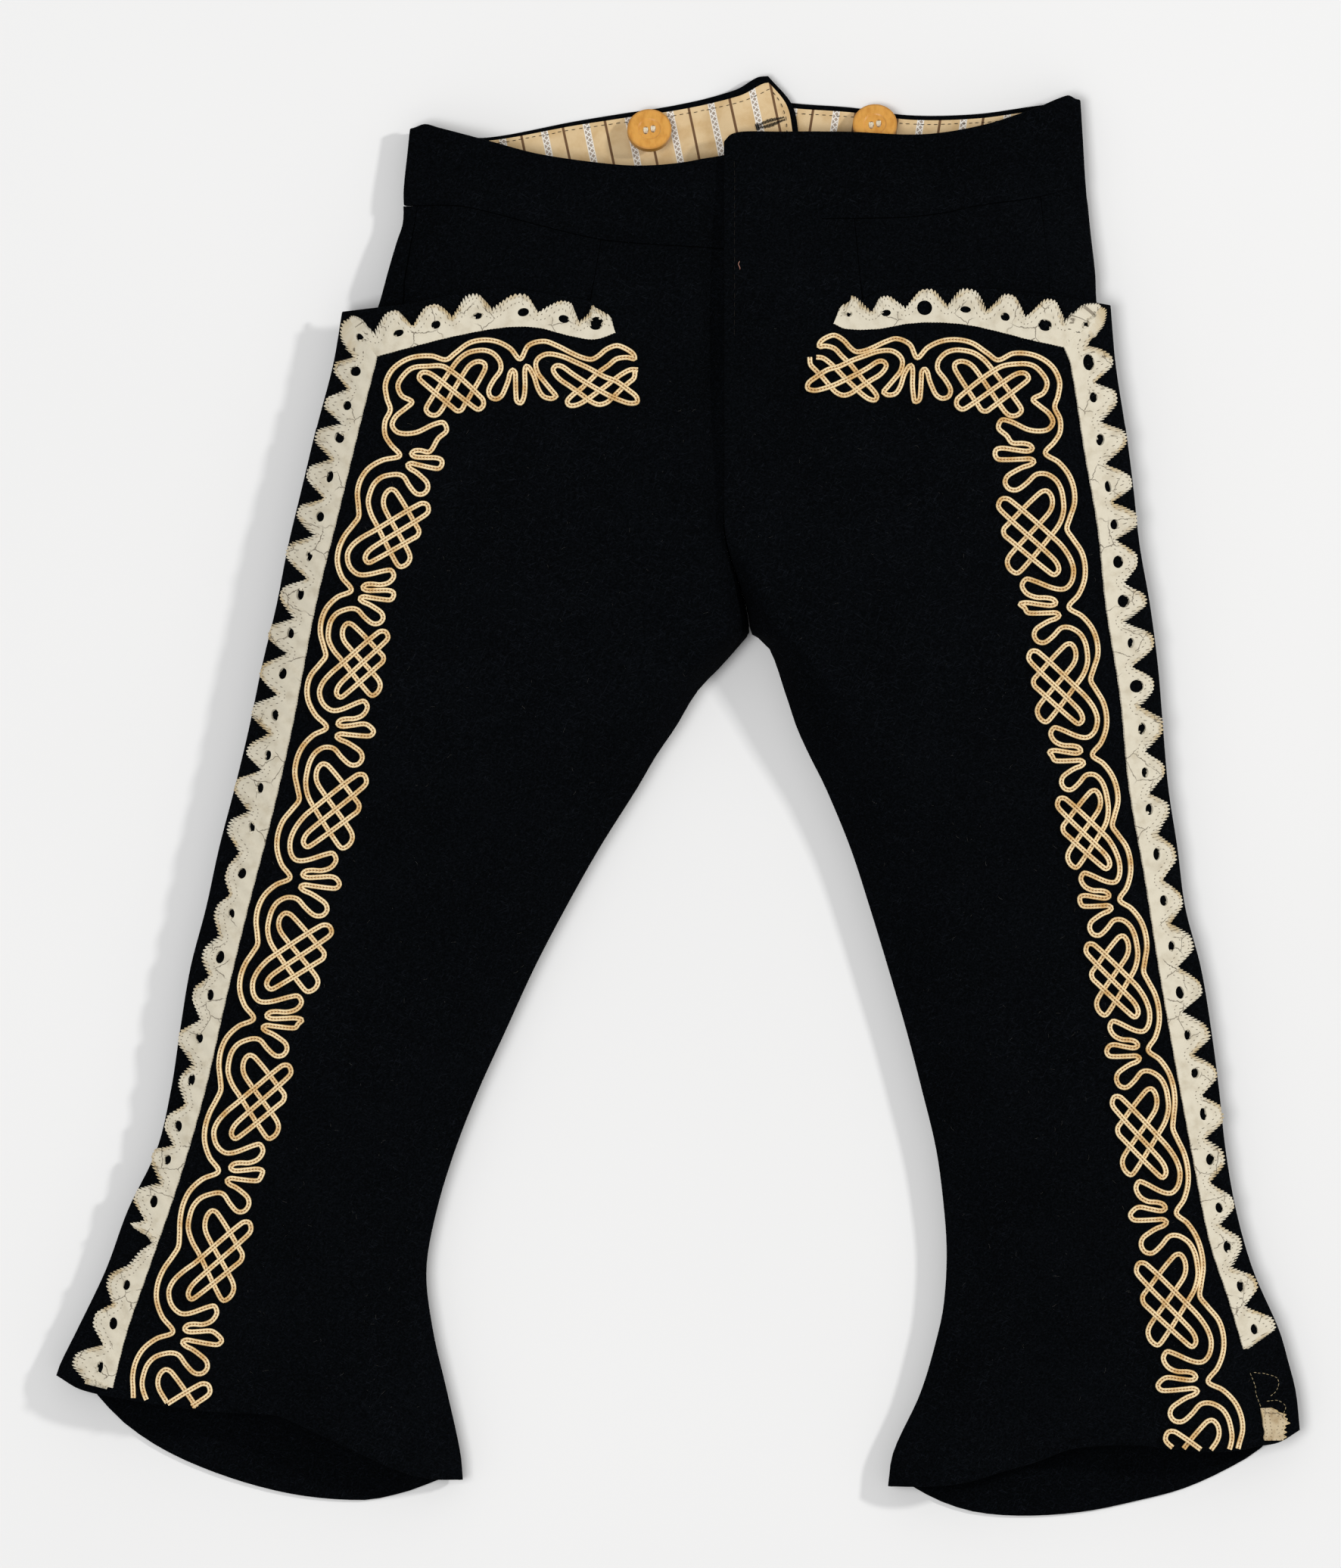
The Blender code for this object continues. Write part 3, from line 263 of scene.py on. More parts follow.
@dataclass(frozen=True)
class Half:
    """One half of the garment. Edge curves give x for a y, and hem, seam and mouth curves give y for an x."""

    name: str
    inward: int
    leg_outer: Curve
    leg_inner: Curve
    seat_outer: Curve
    front_hem: Curve
    back_hem: Curve
    mouth: Curve
    band_seam: Curve
    band_top: Curve
    pocket_end: tuple
    side_seam: Curve
    inner_edge: float
    back_top: Curve
    back_end: Curve
    knots: tuple
    pocket_knots: tuple
    corner: tuple
    corner_hole: tuple
    leather_leg: tuple
    leather_pocket: tuple
    repeats: tuple
    end_stretch: tuple
    pocket_end_fall: float
    button: tuple
    button_tilt: float
    creases: tuple[Crease, ...]
    back_creases: tuple[Crease, ...]

    def ends(self, curve: Curve) -> tuple[tuple, tuple]:
        """First and last row of an edge table, from the outer side to the inner side."""
        rows = curve.rows
        return (rows[0], rows[-1]) if self.inward > 0 else (rows[-1], rows[0])

    def inner_line(self, y: np.ndarray) -> np.ndarray:
        """Where a front or back ends at the centre or at the inner leg."""
        centre = mix(self.leg_inner(CROTCH_Y), FLY_X, ease(CROTCH_Y, VALLEY_TOP_Y, y))
        return np.where(y > CROTCH_Y, centre, self.leg_inner(y))

    def seam_gap(self, y: np.ndarray) -> np.ndarray:
        """Half a seam's gap at the centre, towards this half's own side."""
        return np.where(y > CROTCH_Y - 1, -self.inward * GAP / 2, 0.0)

    def front_inner(self, y: np.ndarray) -> np.ndarray:
        """Inner edge of the front, with the left one's lap under the fly."""
        lap = (self.inner_edge - FLY_X) * ease(VALLEY_TOP_Y + 2, VALLEY_TOP_Y + 20, y)
        return self.inner_line(y) + lap + self.seam_gap(y)

    def height(self, x: np.ndarray, y: np.ndarray, outer: Curve, wall: float) -> np.ndarray:
        """Height of the face over the table.

        Args:
            x: Places across the garment.
            y: Places along it.
            outer: The edge from which the face swells up.
            wall: Thickness of the cloth that laps over the side seam.

        Returns:
            Heights of the cloth's outer side.
        """
        side = SIDE_SEAM(y) + wall + GAP
        rise = CROWN(y) - side
        out = swell(self.inward * (x - outer(y)), OUTER_ROLL)
        inside = swell(self.inward * (self.inner_line(y) - x), INNER_ROLL(y))
        valley = 1 - ease(CROTCH_Y, VALLEY_TOP_Y, y)
        height = side + rise * out * (1 - valley * (1 - inside))
        if self.inward > 0:
            height = height - FLY_DIP * ease(FLY_DIP_START, FLY_DIP_END, x) * ease(
                VALLEY_TOP_Y - 22, VALLEY_TOP_Y - 6, y)
        for crease in self.creases:
            height = height - crease.relief(x, y) * np.clip(out * 1.4, 0, 1)
        return height

    def face(self, x: np.ndarray, y: np.ndarray, lift: np.ndarray = 0.0, outer: Curve | None = None,
             wall: float = CLOTH) -> np.ndarray:
        """Points of the face, moved out along its normal.

        Args:
            x: Places across the garment.
            y: Places along it.
            lift: How far out from the cloth.
            outer: The edge from which the face swells up; the leg's own where none is given.
            wall: Thickness of the cloth.

        Returns:
            Points, one for each place.
        """
        outer = outer or self.leg_outer
        x, y = np.asarray(x, float), np.asarray(y, float)
        step = 0.5
        low = np.minimum(outer(y), self.front_inner(y)) + step
        high = np.maximum(outer(y), self.front_inner(y)) - step
        inside = np.clip(x, low, np.maximum(high, low))
        slope_x = self.height(inside + step, y, outer, wall) - self.height(inside - step, y, outer, wall)
        slope_y = self.height(x, y + step, outer, wall) - self.height(x, y - step, outer, wall)
        normal = np.stack([-slope_x, -slope_y, np.full_like(slope_x, 2 * step)], axis=-1)
        normal /= np.linalg.norm(normal, axis=-1, keepdims=True)
        point = np.stack([x, y, self.height(x, y, outer, wall)], axis=-1)
        return point + normal * np.asarray(lift)[..., None]


LEFT = Half(
    name="left",
    inward=1,
    leg_outer=Curve(((185.5, -129), (165, -132.5), (142, -138.5), (119, -144), (96, -149.5), (73, -154), (50, -159.5),
        (26, -164.5), (3, -170), (-20, -176), (-43, -181), (-66, -187), (-90, -191), (-113, -194.5), (-136, -200),
        (-159, -211), (-182, -219.5), (-205, -230.5), (-217, -236.5), (-222, -238.5))),
    leg_inner=Curve(((62, 27.5), (50, 17), (40, 7.5), (26, -1), (15, -8.5), (3, -15.5), (-20, -30), (-43, -43),
        (-66, -55), (-90, -66), (-113, -76.5), (-136, -85.5), (-159, -92.5), (-182, -96.5), (-205, -94), (-229, -88.5),
        (-252, -83.5), (-262.5, -82.5))),
    seat_outer=Curve(((257, -103), (247, -104), (232, -105.5), (220, -105.5), (212, -108), (200, -111.5), (189, -114.5),
        (175, -119.5), (160, -127), (142, -138.5))),
    front_hem=Curve(((-238.5, -222.5), (-229.5, -227.5), (-216, -230.5), (-179, -236), (-153, -237.5), (-146, -240),
        (-109, -258), (-95, -262), (-82.5, -262.5))),
    back_hem=Curve(((-238.5, -222.5), (-218, -241.5), (-192, -255.5), (-153, -267), (-117, -270.5), (-98, -267.5),
        (-82.5, -262.5))),
    mouth=Curve(((-129, 185.5), (-115, 187), (-102, 188.5), (-88.5, 191.5), (-68, 194.5), (-51.5, 192.5),
        (-33.5, 189.5))),
    band_seam=Curve(((-105.5, 226), (-85, 226), (-72.5, 223.5), (-47.5, 217), (-29.5, 213), (-8, 211), (30, 209))),
    band_top=Curve(((-103, 256), (-98, 257.5), (-91.5, 256), (-72.5, 251), (-53.5, 246), (-29.5, 242.5), (-15, 241.5),
        (0, 242.5), (17.5, 245.5), (30, 247))),
    pocket_end=((189.5, -33.5), (213, -29.5)),
    side_seam=Curve(((170, -109), (192, -106), (226, -100))),
    inner_edge=FLY_X + FLY_UNDERLAP,
    back_top=Curve(((-103, 255), (-90, 253.5), (-75.5, 252.5), (-45.5, 258.5), (-28.5, 261.5), (-7, 265), (17, 270.5),
        (30, 275.5), (34.5, 276))),
    back_end=Curve(((BACK_SEAM_Y, 49), (255.5, 46), (265.5, 43.5), (276, 34.5))),
    knots=((-106.5, 130), (-125, 78.5), (-134.5, 26), (-148.5, -31.5), (-162.5, -85.5), (-176, -144), (-193.5, -205.5),
        (-212, -262)),
    pocket_knots=((-2.5, 161), (-60.5, 167), (-117, 160.5)),
    corner=(-125.4, 182.4),
    corner_hole=(-121.3, 175.2),
    leather_leg=((-115, 168), (-121.5, 142.5), (-130, 107.5), (-138.5, 73), (-147.5, 26.5), (-155.5, -8.5),
        (-164.5, -43), (-173, -78), (-181, -113), (-191, -147.5), (-203, -182.5), (-211, -205.5), (-216.5, -227)),
    leather_pocket=((-24, 177), (-32, 174.5), (-42, 176), (-54, 179), (-67, 179), (-86.5, 175.5), (-104, 171),
        (-115, 168)),
    repeats=LEFT_REPEATS,
    end_stretch=(1.17, 1.07),
    pocket_end_fall=0.125,
    button=(-11, 255),
    button_tilt=24,
    creases=(
        Crease((13.6, 228), (14.4, 122), 0.0, 4.2, 2.6),
        Crease((12, 104), (-38, 128), 3.0, 9.0, 1.3),
        Crease((6, 88), (-52, 92), -4.0, 11.0, 1.5),
        Crease((-4, 66), (-64, 52), -5.0, 10.0, 1.0),
        Crease((-30, 150), (-78, 112), 5.0, 14.0, -0.9),
        Crease((-62, -8), (-112, -34), 4.0, 12.0, 1.1),
        Crease((-74, -46), (-128, -58), -4.0, 12.0, -0.8),
        Crease((-101, -128), (-118, -206), 4.0, 9.0, 1.2),
        Crease((-136, -160), (-146, -238), -3.0, 10.0, -1.0),
        Crease((-162, -196), (-166, -240), 2.0, 7.0, 1.1),
        Crease((-52, 238), (-58, 196), 1.0, 8.0, 0.6),
    ),
    back_creases=(
        Crease((10, 96), (-56, 108), 4.0, 9.0, 0.8),
        Crease((4, 74), (-60, 70), -4.0, 11.0, 1.1),
        Crease((-60, -12), (-124, -30), 5.0, 12.0, 0.9),
        Crease((-110, -150), (-128, -262), 4.0, 8.0, 1.0),
        Crease((-168, -196), (-176, -256), -3.0, 7.0, 0.8),
    ),
)

RIGHT = Half(
    name="right",
    inward=-1,
    leg_outer=Curve(((188, 166), (165, 168), (142, 171.5), (119, 174.5), (96, 177), (73, 181), (50, 184), (26, 186),
        (3, 188), (-20, 191.5), (-43, 194.5), (-66, 200.5), (-90, 204.5), (-113, 207.5), (-136, 210), (-159, 214),
        (-182, 220.5), (-205, 230.5), (-217, 234), (-229, 237), (-243.5, 238.5))),
    leg_inner=Curve(((62, 27.5), (58, 34), (38, 41.5), (26, 45.5), (15, 50.5), (3, 56.5), (-20, 66), (-43, 73.5),
        (-66, 80.5), (-90, 87.5), (-113, 93.5), (-136, 99), (-159, 102), (-176, 103), (-194, 102), (-205, 100),
        (-229, 93), (-252, 82.5), (-265, 80.5))),
    seat_outer=Curve(((268.5, 154.5), (252, 155.5), (235, 156.5), (218, 158), (200, 160), (189, 160.5), (175, 163),
        (160, 167), (142, 171.5))),
    front_hem=Curve(((80.5, -265), (94, -265), (109.5, -263.5), (123, -259.5), (138, -255), (149.5, -250.5),
        (173.5, -249), (192, -251), (210.5, -251.5), (222, -249.5), (230.5, -248), (238.5, -243.5))),
    back_hem=Curve(((80.5, -265), (92, -270.5), (108, -275), (129, -276.5), (154.5, -275), (177, -271), (200, -265.5),
        (223.5, -255.5), (234.5, -248.5), (238.5, -243.5))),
    mouth=Curve(((70.5, 189.5), (76.5, 193), (95.5, 195), (115, 194.5), (143.5, 191.5), (166, 188))),
    band_seam=Curve(((17.5, 220.5), (55, 221), (86, 221.5), (100.5, 223), (115, 226), (139, 229.5), (157, 234.5))),
    band_top=Curve(((17.5, 250.5), (20, 253.3), (25, 254.5), (37.5, 254.5), (64.5, 254.5), (93.5, 253.5), (116.5, 257),
        (137, 263.5), (150, 268.5), (154.5, 267))),
    pocket_end=((189.5, 70.5), (221, 67.5)),
    side_seam=Curve(((170, 146), (192, 143), (229.5, 139))),
    inner_edge=FLY_X,
    back_top=Curve(((26, 268), (46, 265.5), (66.5, 264), (89.5, 261), (115, 261.5), (137, 264.5), (154.5, 266.5))),
    back_end=Curve(((BACK_SEAM_Y, 26), (268, 26))),
    knots=((140.5, 131), (149.5, 72), (158.5, 15.5), (169, -40), (180, -97.5), (190.8, -160), (203, -224.5),
        (217, -283)),
    pocket_knots=((33.5, 164.5), (91.5, 167.5), (154, 160)),
    corner=(161.3, 187.0),
    corner_hole=(155.6, 180.2),
    leather_leg=((147.5, 171.5), (150, 165.5), (155.5, 131), (160.5, 102), (163.5, 73), (169, 38), (172.5, 3),
        (178.5, -31.5), (184, -66.5), (190, -101), (196.5, -136), (203.5, -171), (211, -194), (219, -221)),
    leather_pocket=((59.5, 180.5), (64.5, 178.5), (76.5, 178.5), (88, 180.5), (98.5, 181), (111, 180), (124.5, 177),
        (134, 174.5), (147.5, 171.5)),
    repeats=RIGHT_REPEATS,
    end_stretch=(1.0, 1.0),
    pocket_end_fall=0.0,
    button=(75.5, 257),
    button_tilt=26,
    creases=(
        Crease((22, 112), (64, 140), -3.0, 10.0, 1.1),
        Crease((24, 90), (82, 104), 4.0, 12.0, 1.3),
        Crease((36, 62), (96, 44), 5.0, 11.0, 1.0),
        Crease((58, 168), (96, 120), -5.0, 14.0, -0.8),
        Crease((76, -20), (130, -44), -4.0, 13.0, 1.0),
        Crease((92, -66), (150, -80), 4.0, 12.0, -0.8),
        Crease((112, -132), (122, -214), -4.0, 9.0, 1.3),
        Crease((146, -168), (150, -246), 3.0, 11.0, -1.0),
        Crease((172, -188), (178, -246), 2.0, 8.0, 1.1),
        Crease((96, 244), (98, 200), 1.0, 9.0, 0.5),
    ),
    back_creases=(
        Crease((28, 94), (84, 108), -4.0, 9.0, 0.8),
        Crease((36, 70), (98, 62), 4.0, 11.0, 1.0),
        Crease((80, -24), (140, -38), -5.0, 12.0, 0.9),
        Crease((122, -160), (136, -268), -3.0, 8.0, 1.0),
        Crease((182, -190), (192, -262), 3.0, 7.0, 0.8),
    ),
)


class Facing(Enum):
    """Which way the right side of a piece of cloth looks."""

    UP = 1
    DOWN = -1


class Strip(Enum):
    """The two leather strips of a half."""

    POCKET = "pocket"
    LEG = "leg"


@dataclass
class Graph:
    """The nodes of one material, and the few kinds of step that the finishes are made of."""

    made: Material
    tree: NodeTree
    shader: Node

    def node(self, kind: str, inputs: dict | None = None, **settings: object) -> Node:
        """Add one node with its settings and links.

        Args:
            kind: Blender's name of the node.
            inputs: Values or sockets for its inputs, by name or number.
            settings: Its own settings.

        Returns:
            The node.
        """
        node = self.tree.nodes.new(kind)
        for name, value in settings.items():
            setattr(node, name, value)
        for name, value in (inputs or {}).items():
            if isinstance(value, NodeSocket):
                self.tree.links.new(value, node.inputs[name])
            else:
                node.inputs[name].default_value = value
        return node

    def uv(self) -> NodeSocket:
        """The piece's own UV map."""
        return self.node("ShaderNodeUVMap", uv_map="UVMap").outputs["UV"]

    def place(self) -> NodeSocket:
        """Places on the object, in metres."""
        return self.node("ShaderNodeTexCoord").outputs["Object"]

    def noise(self, vector: NodeSocket, size: float, detail: float = 2.0) -> NodeSocket:
        """Noise with features of a real size.

        Args:
            vector: Where the pattern is read, in metres.
            size: Size of its features in millimetres.
            detail: How many finer layers it has.

        Returns:
            The noise, from 0 to 1.
        """
        return self.node("ShaderNodeTexNoise", {"Vector": vector, "Scale": 1 / (size * MM), "Detail": detail,
                                                "Roughness": 0.55}).outputs["Fac"]

    def band(self, value: NodeSocket, low: float, high: float) -> NodeSocket:
        """0 up to low, 1 from high on, and a slope between."""
        return self.node("ShaderNodeMapRange", {"Value": value, "From Min": low, "From Max": high},
                         interpolation_type="SMOOTHSTEP").outputs["Result"]

    def blend(self, share: object, low: object, high: object) -> NodeSocket:
        """Colour that goes from low to high with a share; either may be an sRGB hex colour."""
        low, high = (linear(end) if isinstance(end, str) else end for end in (low, high))
        return self.node("ShaderNodeMix", {0: share, 6: low, 7: high}, data_type="RGBA").outputs[2]

    def sum(self, operation: str, first: object, second: object = 0.0, third: object = 0.0) -> NodeSocket:
        """Result of one arithmetic step."""
        return self.node("ShaderNodeMath", {0: first, 1: second, 2: third}, operation=operation).outputs[0]

    def times(self, first: object, second: object) -> NodeSocket:
        """Product of two values."""
        return self.sum("MULTIPLY", first, second)

    def close(self, colour: NodeSocket, height: NodeSocket | None = None, strength: float = 0.0,
              depth: float = 0.0) -> Material:
        """Link the colour and the relief to the shader.

        Args:
            colour: The colour.
            height: The relief, from 0 to 1.
            strength: How much of it shows.
            depth: Its depth in millimetres.

        Returns:
            The material.
        """
        self.tree.links.new(colour, self.shader.inputs["Base Color"])
        if height is not None:
            bump = self.node("ShaderNodeBump", {"Height": height, "Strength": strength, "Distance": depth * MM})
            self.tree.links.new(bump.outputs[0], self.shader.inputs["Normal"])
        return self.made


@dataclass(frozen=True)
class Finish:
    """What every finish has: a name, a roughness and how much it shines."""

    name: str
    roughness: float
    specular: float

    def start(self) -> Graph:
        """Start the material.

        Returns:
            Its graph, with the two constants set on the shader.
        """
        made = bpy.data.materials.new(self.name)
        made.use_nodes = True
        shader = made.node_tree.nodes["Principled BSDF"]
        shader.inputs["Roughness"].default_value = self.roughness
        shader.inputs["Specular IOR Level"].default_value = self.specular
        return Graph(made, made.node_tree, shader)


@dataclass(frozen=True)
class WoolBroadcloth(Finish):
    """Black wool broadcloth, fulled and napped: the eye gets a dull, soft black with short pale hairs in it."""

    name: str = "fulled_wool_broadcloth"
    roughness: float = 1.0
    specular: float = 0.02
    deep: str = "#030405"
    worn: str = "#080a0d"
    hair: str = "#1a1d23"
    nap_size: float = 0.8
    cloud_size: float = 28.0
    # A real hair is 0.03 mm thick; it is drawn at 0.25 mm, the finest that shows
    hair_width: float = 0.25
    hair_length: float = 2.6

    def material(self) -> Material:
        """Build the material.

        Returns:
            The material.
        """
        graph = self.start()
        place = graph.place()
        nap = graph.noise(place, self.nap_size, 5)
        cloud = graph.noise(place, self.cloud_size, 3)
        tone = graph.sum("MULTIPLY_ADD", nap, 0.84, graph.times(cloud, 0.16))
        colour = graph.blend(graph.band(tone, 0.36, 0.66), self.deep, self.worn)
        for turn in (0.5, 2.0, 2.8):
            laid = graph.node("ShaderNodeMapping", {"Vector": place, "Rotation": (0, 0, turn)}).outputs[0]
            drawn = graph.node("ShaderNodeMapping", {
                "Vector": laid, "Scale": (1 / self.hair_length, 1 / self.hair_width, 0.2)}).outputs[0]
            streak = graph.node("ShaderNodeTexNoise", {"Vector": drawn, "Scale": 1 / MM, "Detail": 0.0})
            share = graph.times(graph.band(streak.outputs["Fac"], 0.72, 0.8), 0.4)
            colour = graph.blend(share, colour, self.hair)
        return graph.close(colour, nap, 0.7, 0.25)


@dataclass(frozen=True)
class CottonTwill(Finish):
    """Striped cotton twill: the eye gets washed beige with fine slanting ribs, brown lines and pale lattices."""

    name: str = "washed_cotton_twill"
    roughness: float = 0.85
    specular: float = 0.2
    ground: str = "#e2c79c"
    stain: str = "#c9a673"
    brown: str = "#6f5238"
    lattice_ground: str = "#a8998a"
    lattice: str = "#f0ebe2"
    pitch: float = 16.25
    brown_width: float = 0.95
    lattice_place: float = 0.55
    lattice_width: float = 2.6
    lattice_repeat: float = 2.1
    # A real rib is 0.35 mm; it is drawn at 0.6 mm, the finest that shows
    rib: float = 0.6

    def material(self) -> Material:
        """Build the material. The UV map gives millimetres from a brown line, and along it, over 1000.

        Returns:
            The material.
        """
        graph = self.start()
        place = graph.uv()
        split = graph.node("ShaderNodeSeparateXYZ", {"Vector": place})
        across, along = split.outputs["X"], split.outputs["Y"]
        stain = graph.band(graph.noise(place, 9, 4), 0.38, 0.72)
        colour = graph.blend(graph.times(stain, 0.75), self.ground, self.stain)
        slant = graph.sum("MULTIPLY_ADD", along, 1 / (self.rib * MM), graph.times(across, 1.3 / (self.rib * MM)))
        rib = graph.sum("PINGPONG", slant, 0.5)
        colour = graph.blend(graph.times(rib, 0.35), colour, self.stain)
        repeats = graph.times(across, 1 / (self.pitch * MM))
        in_brown = graph.sum("PINGPONG", repeats, 0.5)
        half = self.brown_width / self.pitch / 2
        line = graph.band(in_brown, half * 1.25, half * 0.8)
        colour = graph.blend(line, colour, self.brown)
        shifted = graph.sum("SUBTRACT", repeats, self.lattice_place)
        in_lattice = graph.times(graph.sum("PINGPONG", shifted, 0.5), self.pitch)
        inside = graph.band(in_lattice, self.lattice_width * 0.55, self.lattice_width * 0.45)
        signed = graph.times(graph.sum("FRACT", graph.sum("ADD", shifted, 0.5)), self.pitch / self.lattice_repeat)
        steps = graph.times(along, 1 / (self.lattice_repeat * MM))
        crossing = [graph.sum("PINGPONG", graph.sum(way, steps, signed), 0.5) for way in ("ADD", "SUBTRACT")]
        thread = graph.band(graph.sum("MINIMUM", *crossing), 0.17, 0.1)
        border = graph.band(in_lattice, self.lattice_width * 0.34, self.lattice_width * 0.42)
        pale = graph.sum("MAXIMUM", thread, border)
        colour = graph.blend(inside, colour, graph.blend(pale, self.lattice_ground, self.lattice))
        return graph.close(colour, rib, 0.5, 0.15)


@dataclass(frozen=True)
class TawedLeather(Finish):
    """Alum-tawed skin: the eye gets a dry chalky white that has cracked, with needle holes and a yellowed edge."""

    name: str = "alum_tawed_leather"
    roughness: float = 0.8
    specular: float = 0.25
    ground: str = "#d9d1bd"
    soiled: str = "#c8bea8"
    edge: str = "#b9a070"
    crack: str = "#4a3a2a"
    # A real needle hole is 0.2 mm; it is drawn at 0.4 mm, the finest that shows
    hole: float = 0.4
    hole_pitch: float = 1.3
    hole_inset: float = 0.75
    hole_lines: float = 2.6

    def material(self) -> Material:
        """Build the material. The UV map gives metres along the strip and across it, and `rim` metres to its edge.

        Returns:
            The material.
        """
        graph = self.start()
        place = graph.uv()
        rim = graph.node("ShaderNodeAttribute", attribute_name="rim").outputs["Fac"]
        soil = graph.band(graph.noise(place, 5, 5), 0.42, 0.75)
        colour = graph.blend(soil, self.ground, self.soiled)
        ragged = graph.sum("MULTIPLY_ADD", graph.noise(place, 1.6, 3), 1.8 * MM, -0.9 * MM)
        near = graph.band(graph.sum("ADD", rim, ragged), 1.3 * MM, 0.1 * MM)
        patch = graph.band(graph.noise(place, 12, 2), 0.42, 0.62)
        yellow = graph.times(graph.times(near, patch), 0.8)
        colour = graph.blend(yellow, colour, self.edge)
        wander = graph.node("ShaderNodeTexNoise", {"Vector": place, "Scale": 1 / (2.5 * MM), "Detail": 3.0})
        bent = graph.node("ShaderNodeVectorMath", {
            0: wander.outputs["Color"], 1: (2.4 * MM, 2.4 * MM, 0), 2: place}, operation="MULTIPLY_ADD").outputs[0]
        cells = graph.node("ShaderNodeTexVoronoi", {"Vector": bent, "Scale": 1 / (9 * MM)},
                         feature="DISTANCE_TO_EDGE", voronoi_dimensions="2D").outputs["Distance"]
        shown = graph.band(graph.noise(place, 14, 1), 0.48, 0.56)
        crack = graph.times(graph.band(cells, 0.022, 0.008), shown)
        colour = graph.blend(graph.times(crack, 0.7), colour, self.crack)
        along = graph.node("ShaderNodeSeparateXYZ", {"Vector": place}).outputs["X"]
        step = graph.sum("PINGPONG", graph.times(along, 1 / (self.hole_pitch * MM)), 0.5)
        off = graph.times(step, self.hole_pitch)
        between = graph.sum("MULTIPLY_ADD", rim, 1 / MM, -(self.hole_inset + self.hole_lines) / 2)
        inset = graph.sum("SUBTRACT", graph.sum("ABSOLUTE", between), (self.hole_lines - self.hole_inset) / 2)
        distance = graph.sum("SQRT", graph.sum("ADD", graph.sum("POWER", off, 2.0), graph.times(inset, inset)))
        hole = graph.band(distance, self.hole * 0.65, self.hole * 0.35)
        colour = graph.blend(graph.times(hole, 0.75), colour, self.crack)
        grain = graph.noise(place, 0.8, 4)
        dent = graph.sum("SUBTRACT", grain, graph.sum("ADD", graph.times(crack, 2.0), hole))
        return graph.close(colour, dent, 0.6, 0.15)


@dataclass(frozen=True)
class GoldSoutache(Finish):
    """Soutache braid: two cords bound with gold silk, so the eye gets two pale ridges and a flecked groove, with
    painted shade in the groove and on the flanks.
    """

    name: str = "gold_soutache"
    roughness: float = 0.55
    specular: float = 0.35
    ridge: str = "#fbe4b6"
    # Colour of the random wear, and of the painted shade on the braid's flanks
    side: str = "#d4aa6a"
    # Colour of the painted shade in the groove between the two cords
    groove_shade: str = "#b38245"
    fleck: str = "#6a4018"
    plait: float = 1.25

    def material(self) -> Material:
        """Build the material. The UV map gives a place across from 0 to 1, and millimetres along.

        Returns:
            The material.
        """
        graph = self.start()
        place = graph.uv()
        split = graph.node("ShaderNodeSeparateXYZ", {"Vector": place})
        across = graph.sum("ABSOLUTE", graph.sum("SUBTRACT", split.outputs["X"], 0.5))
        along = split.outputs["Y"]
        ground = graph.place()
        worn = graph.noise(ground, 7, 3)
        colour = graph.blend(graph.band(worn, 0.4, 0.75), self.ridge, self.side)
        # Painted shade: the groove between the two cords is darkened
        groove_shade = graph.band(across, 0.2, 0.06)
        colour = graph.blend(graph.times(groove_shade, 0.5), colour, self.groove_shade)
        slant = graph.sum("MULTIPLY_ADD", across, -2.2, graph.times(along, 1 / self.plait))
        plait = graph.sum("PINGPONG", slant, 0.5)
        dash = graph.times(graph.band(plait, 0.24, 0.12), graph.band(across, 0.24, 0.14))
        colour = graph.blend(graph.times(dash, 0.85), colour, self.fleck)
        # Painted shade: the braid darkens towards its two edges, where the cords turn down
        flank_shade = graph.band(across, 0.43, 0.5)
        colour = graph.blend(graph.times(flank_shade, 0.6), colour, self.side)
        return graph.close(colour, plait, 0.8, 0.2)


@dataclass(frozen=True)
class TurnedHorn(Finish):
    """Turned and polished horn: the eye gets warm amber with a soft gloss, cloudy inside and darker at the rim."""

    name: str = "turned_horn"
    roughness: float = 0.32
    specular: float = 0.5
    amber: str = "#dca04a"
    cloud: str = "#c98a36"
    rim: str = "#a5702c"

    def material(self) -> Material:
        """Build the material. `ring` gives the distance from the button's axis as a share of its radius.

        Returns:
            The material.
        """
        graph = self.start()
        place = graph.place()
        ring = graph.node("ShaderNodeAttribute", attribute_name="ring").outputs["Fac"]
        drawn = graph.node("ShaderNodeMapping", {"Vector": place, "Scale": (1, 0.25, 1)}).outputs[0]
        cloud = graph.band(graph.noise(drawn, 2.5, 3), 0.4, 0.7)
        colour = graph.blend(cloud, self.amber, self.cloud)
        colour = graph.blend(graph.times(graph.band(ring, 0.88, 1.0), 0.7), colour, self.rim)
        lathe = graph.sum("PINGPONG", graph.times(ring, 26.0), 0.5)
        graph.shader.inputs["Subsurface Weight"].default_value = 0.15
        graph.shader.inputs["Subsurface Radius"].default_value = (1.0, 0.5, 0.2)
        graph.shader.inputs["Subsurface Scale"].default_value = 1.0 * MM
        return graph.close(colour, lathe, 0.12, 0.05)


@dataclass(frozen=True)
class SpunThread(Finish):
    """Two-ply sewing thread: the eye gets a fine twisted line of one colour."""

    name: str = "spun_thread"
    roughness: float = 0.8
    specular: float = 0.15
    colour: str = "#1c1814"
    shade: str = "#0c0a08"

    def material(self) -> Material:
        """Build the material.

        Returns:
            The material.
        """
        graph = self.start()
        ply = graph.noise(graph.place(), 0.35, 2)
        colour = graph.blend(graph.band(ply, 0.35, 0.65), self.shade, self.colour)
        return graph.close(colour, ply, 0.5, 0.1)


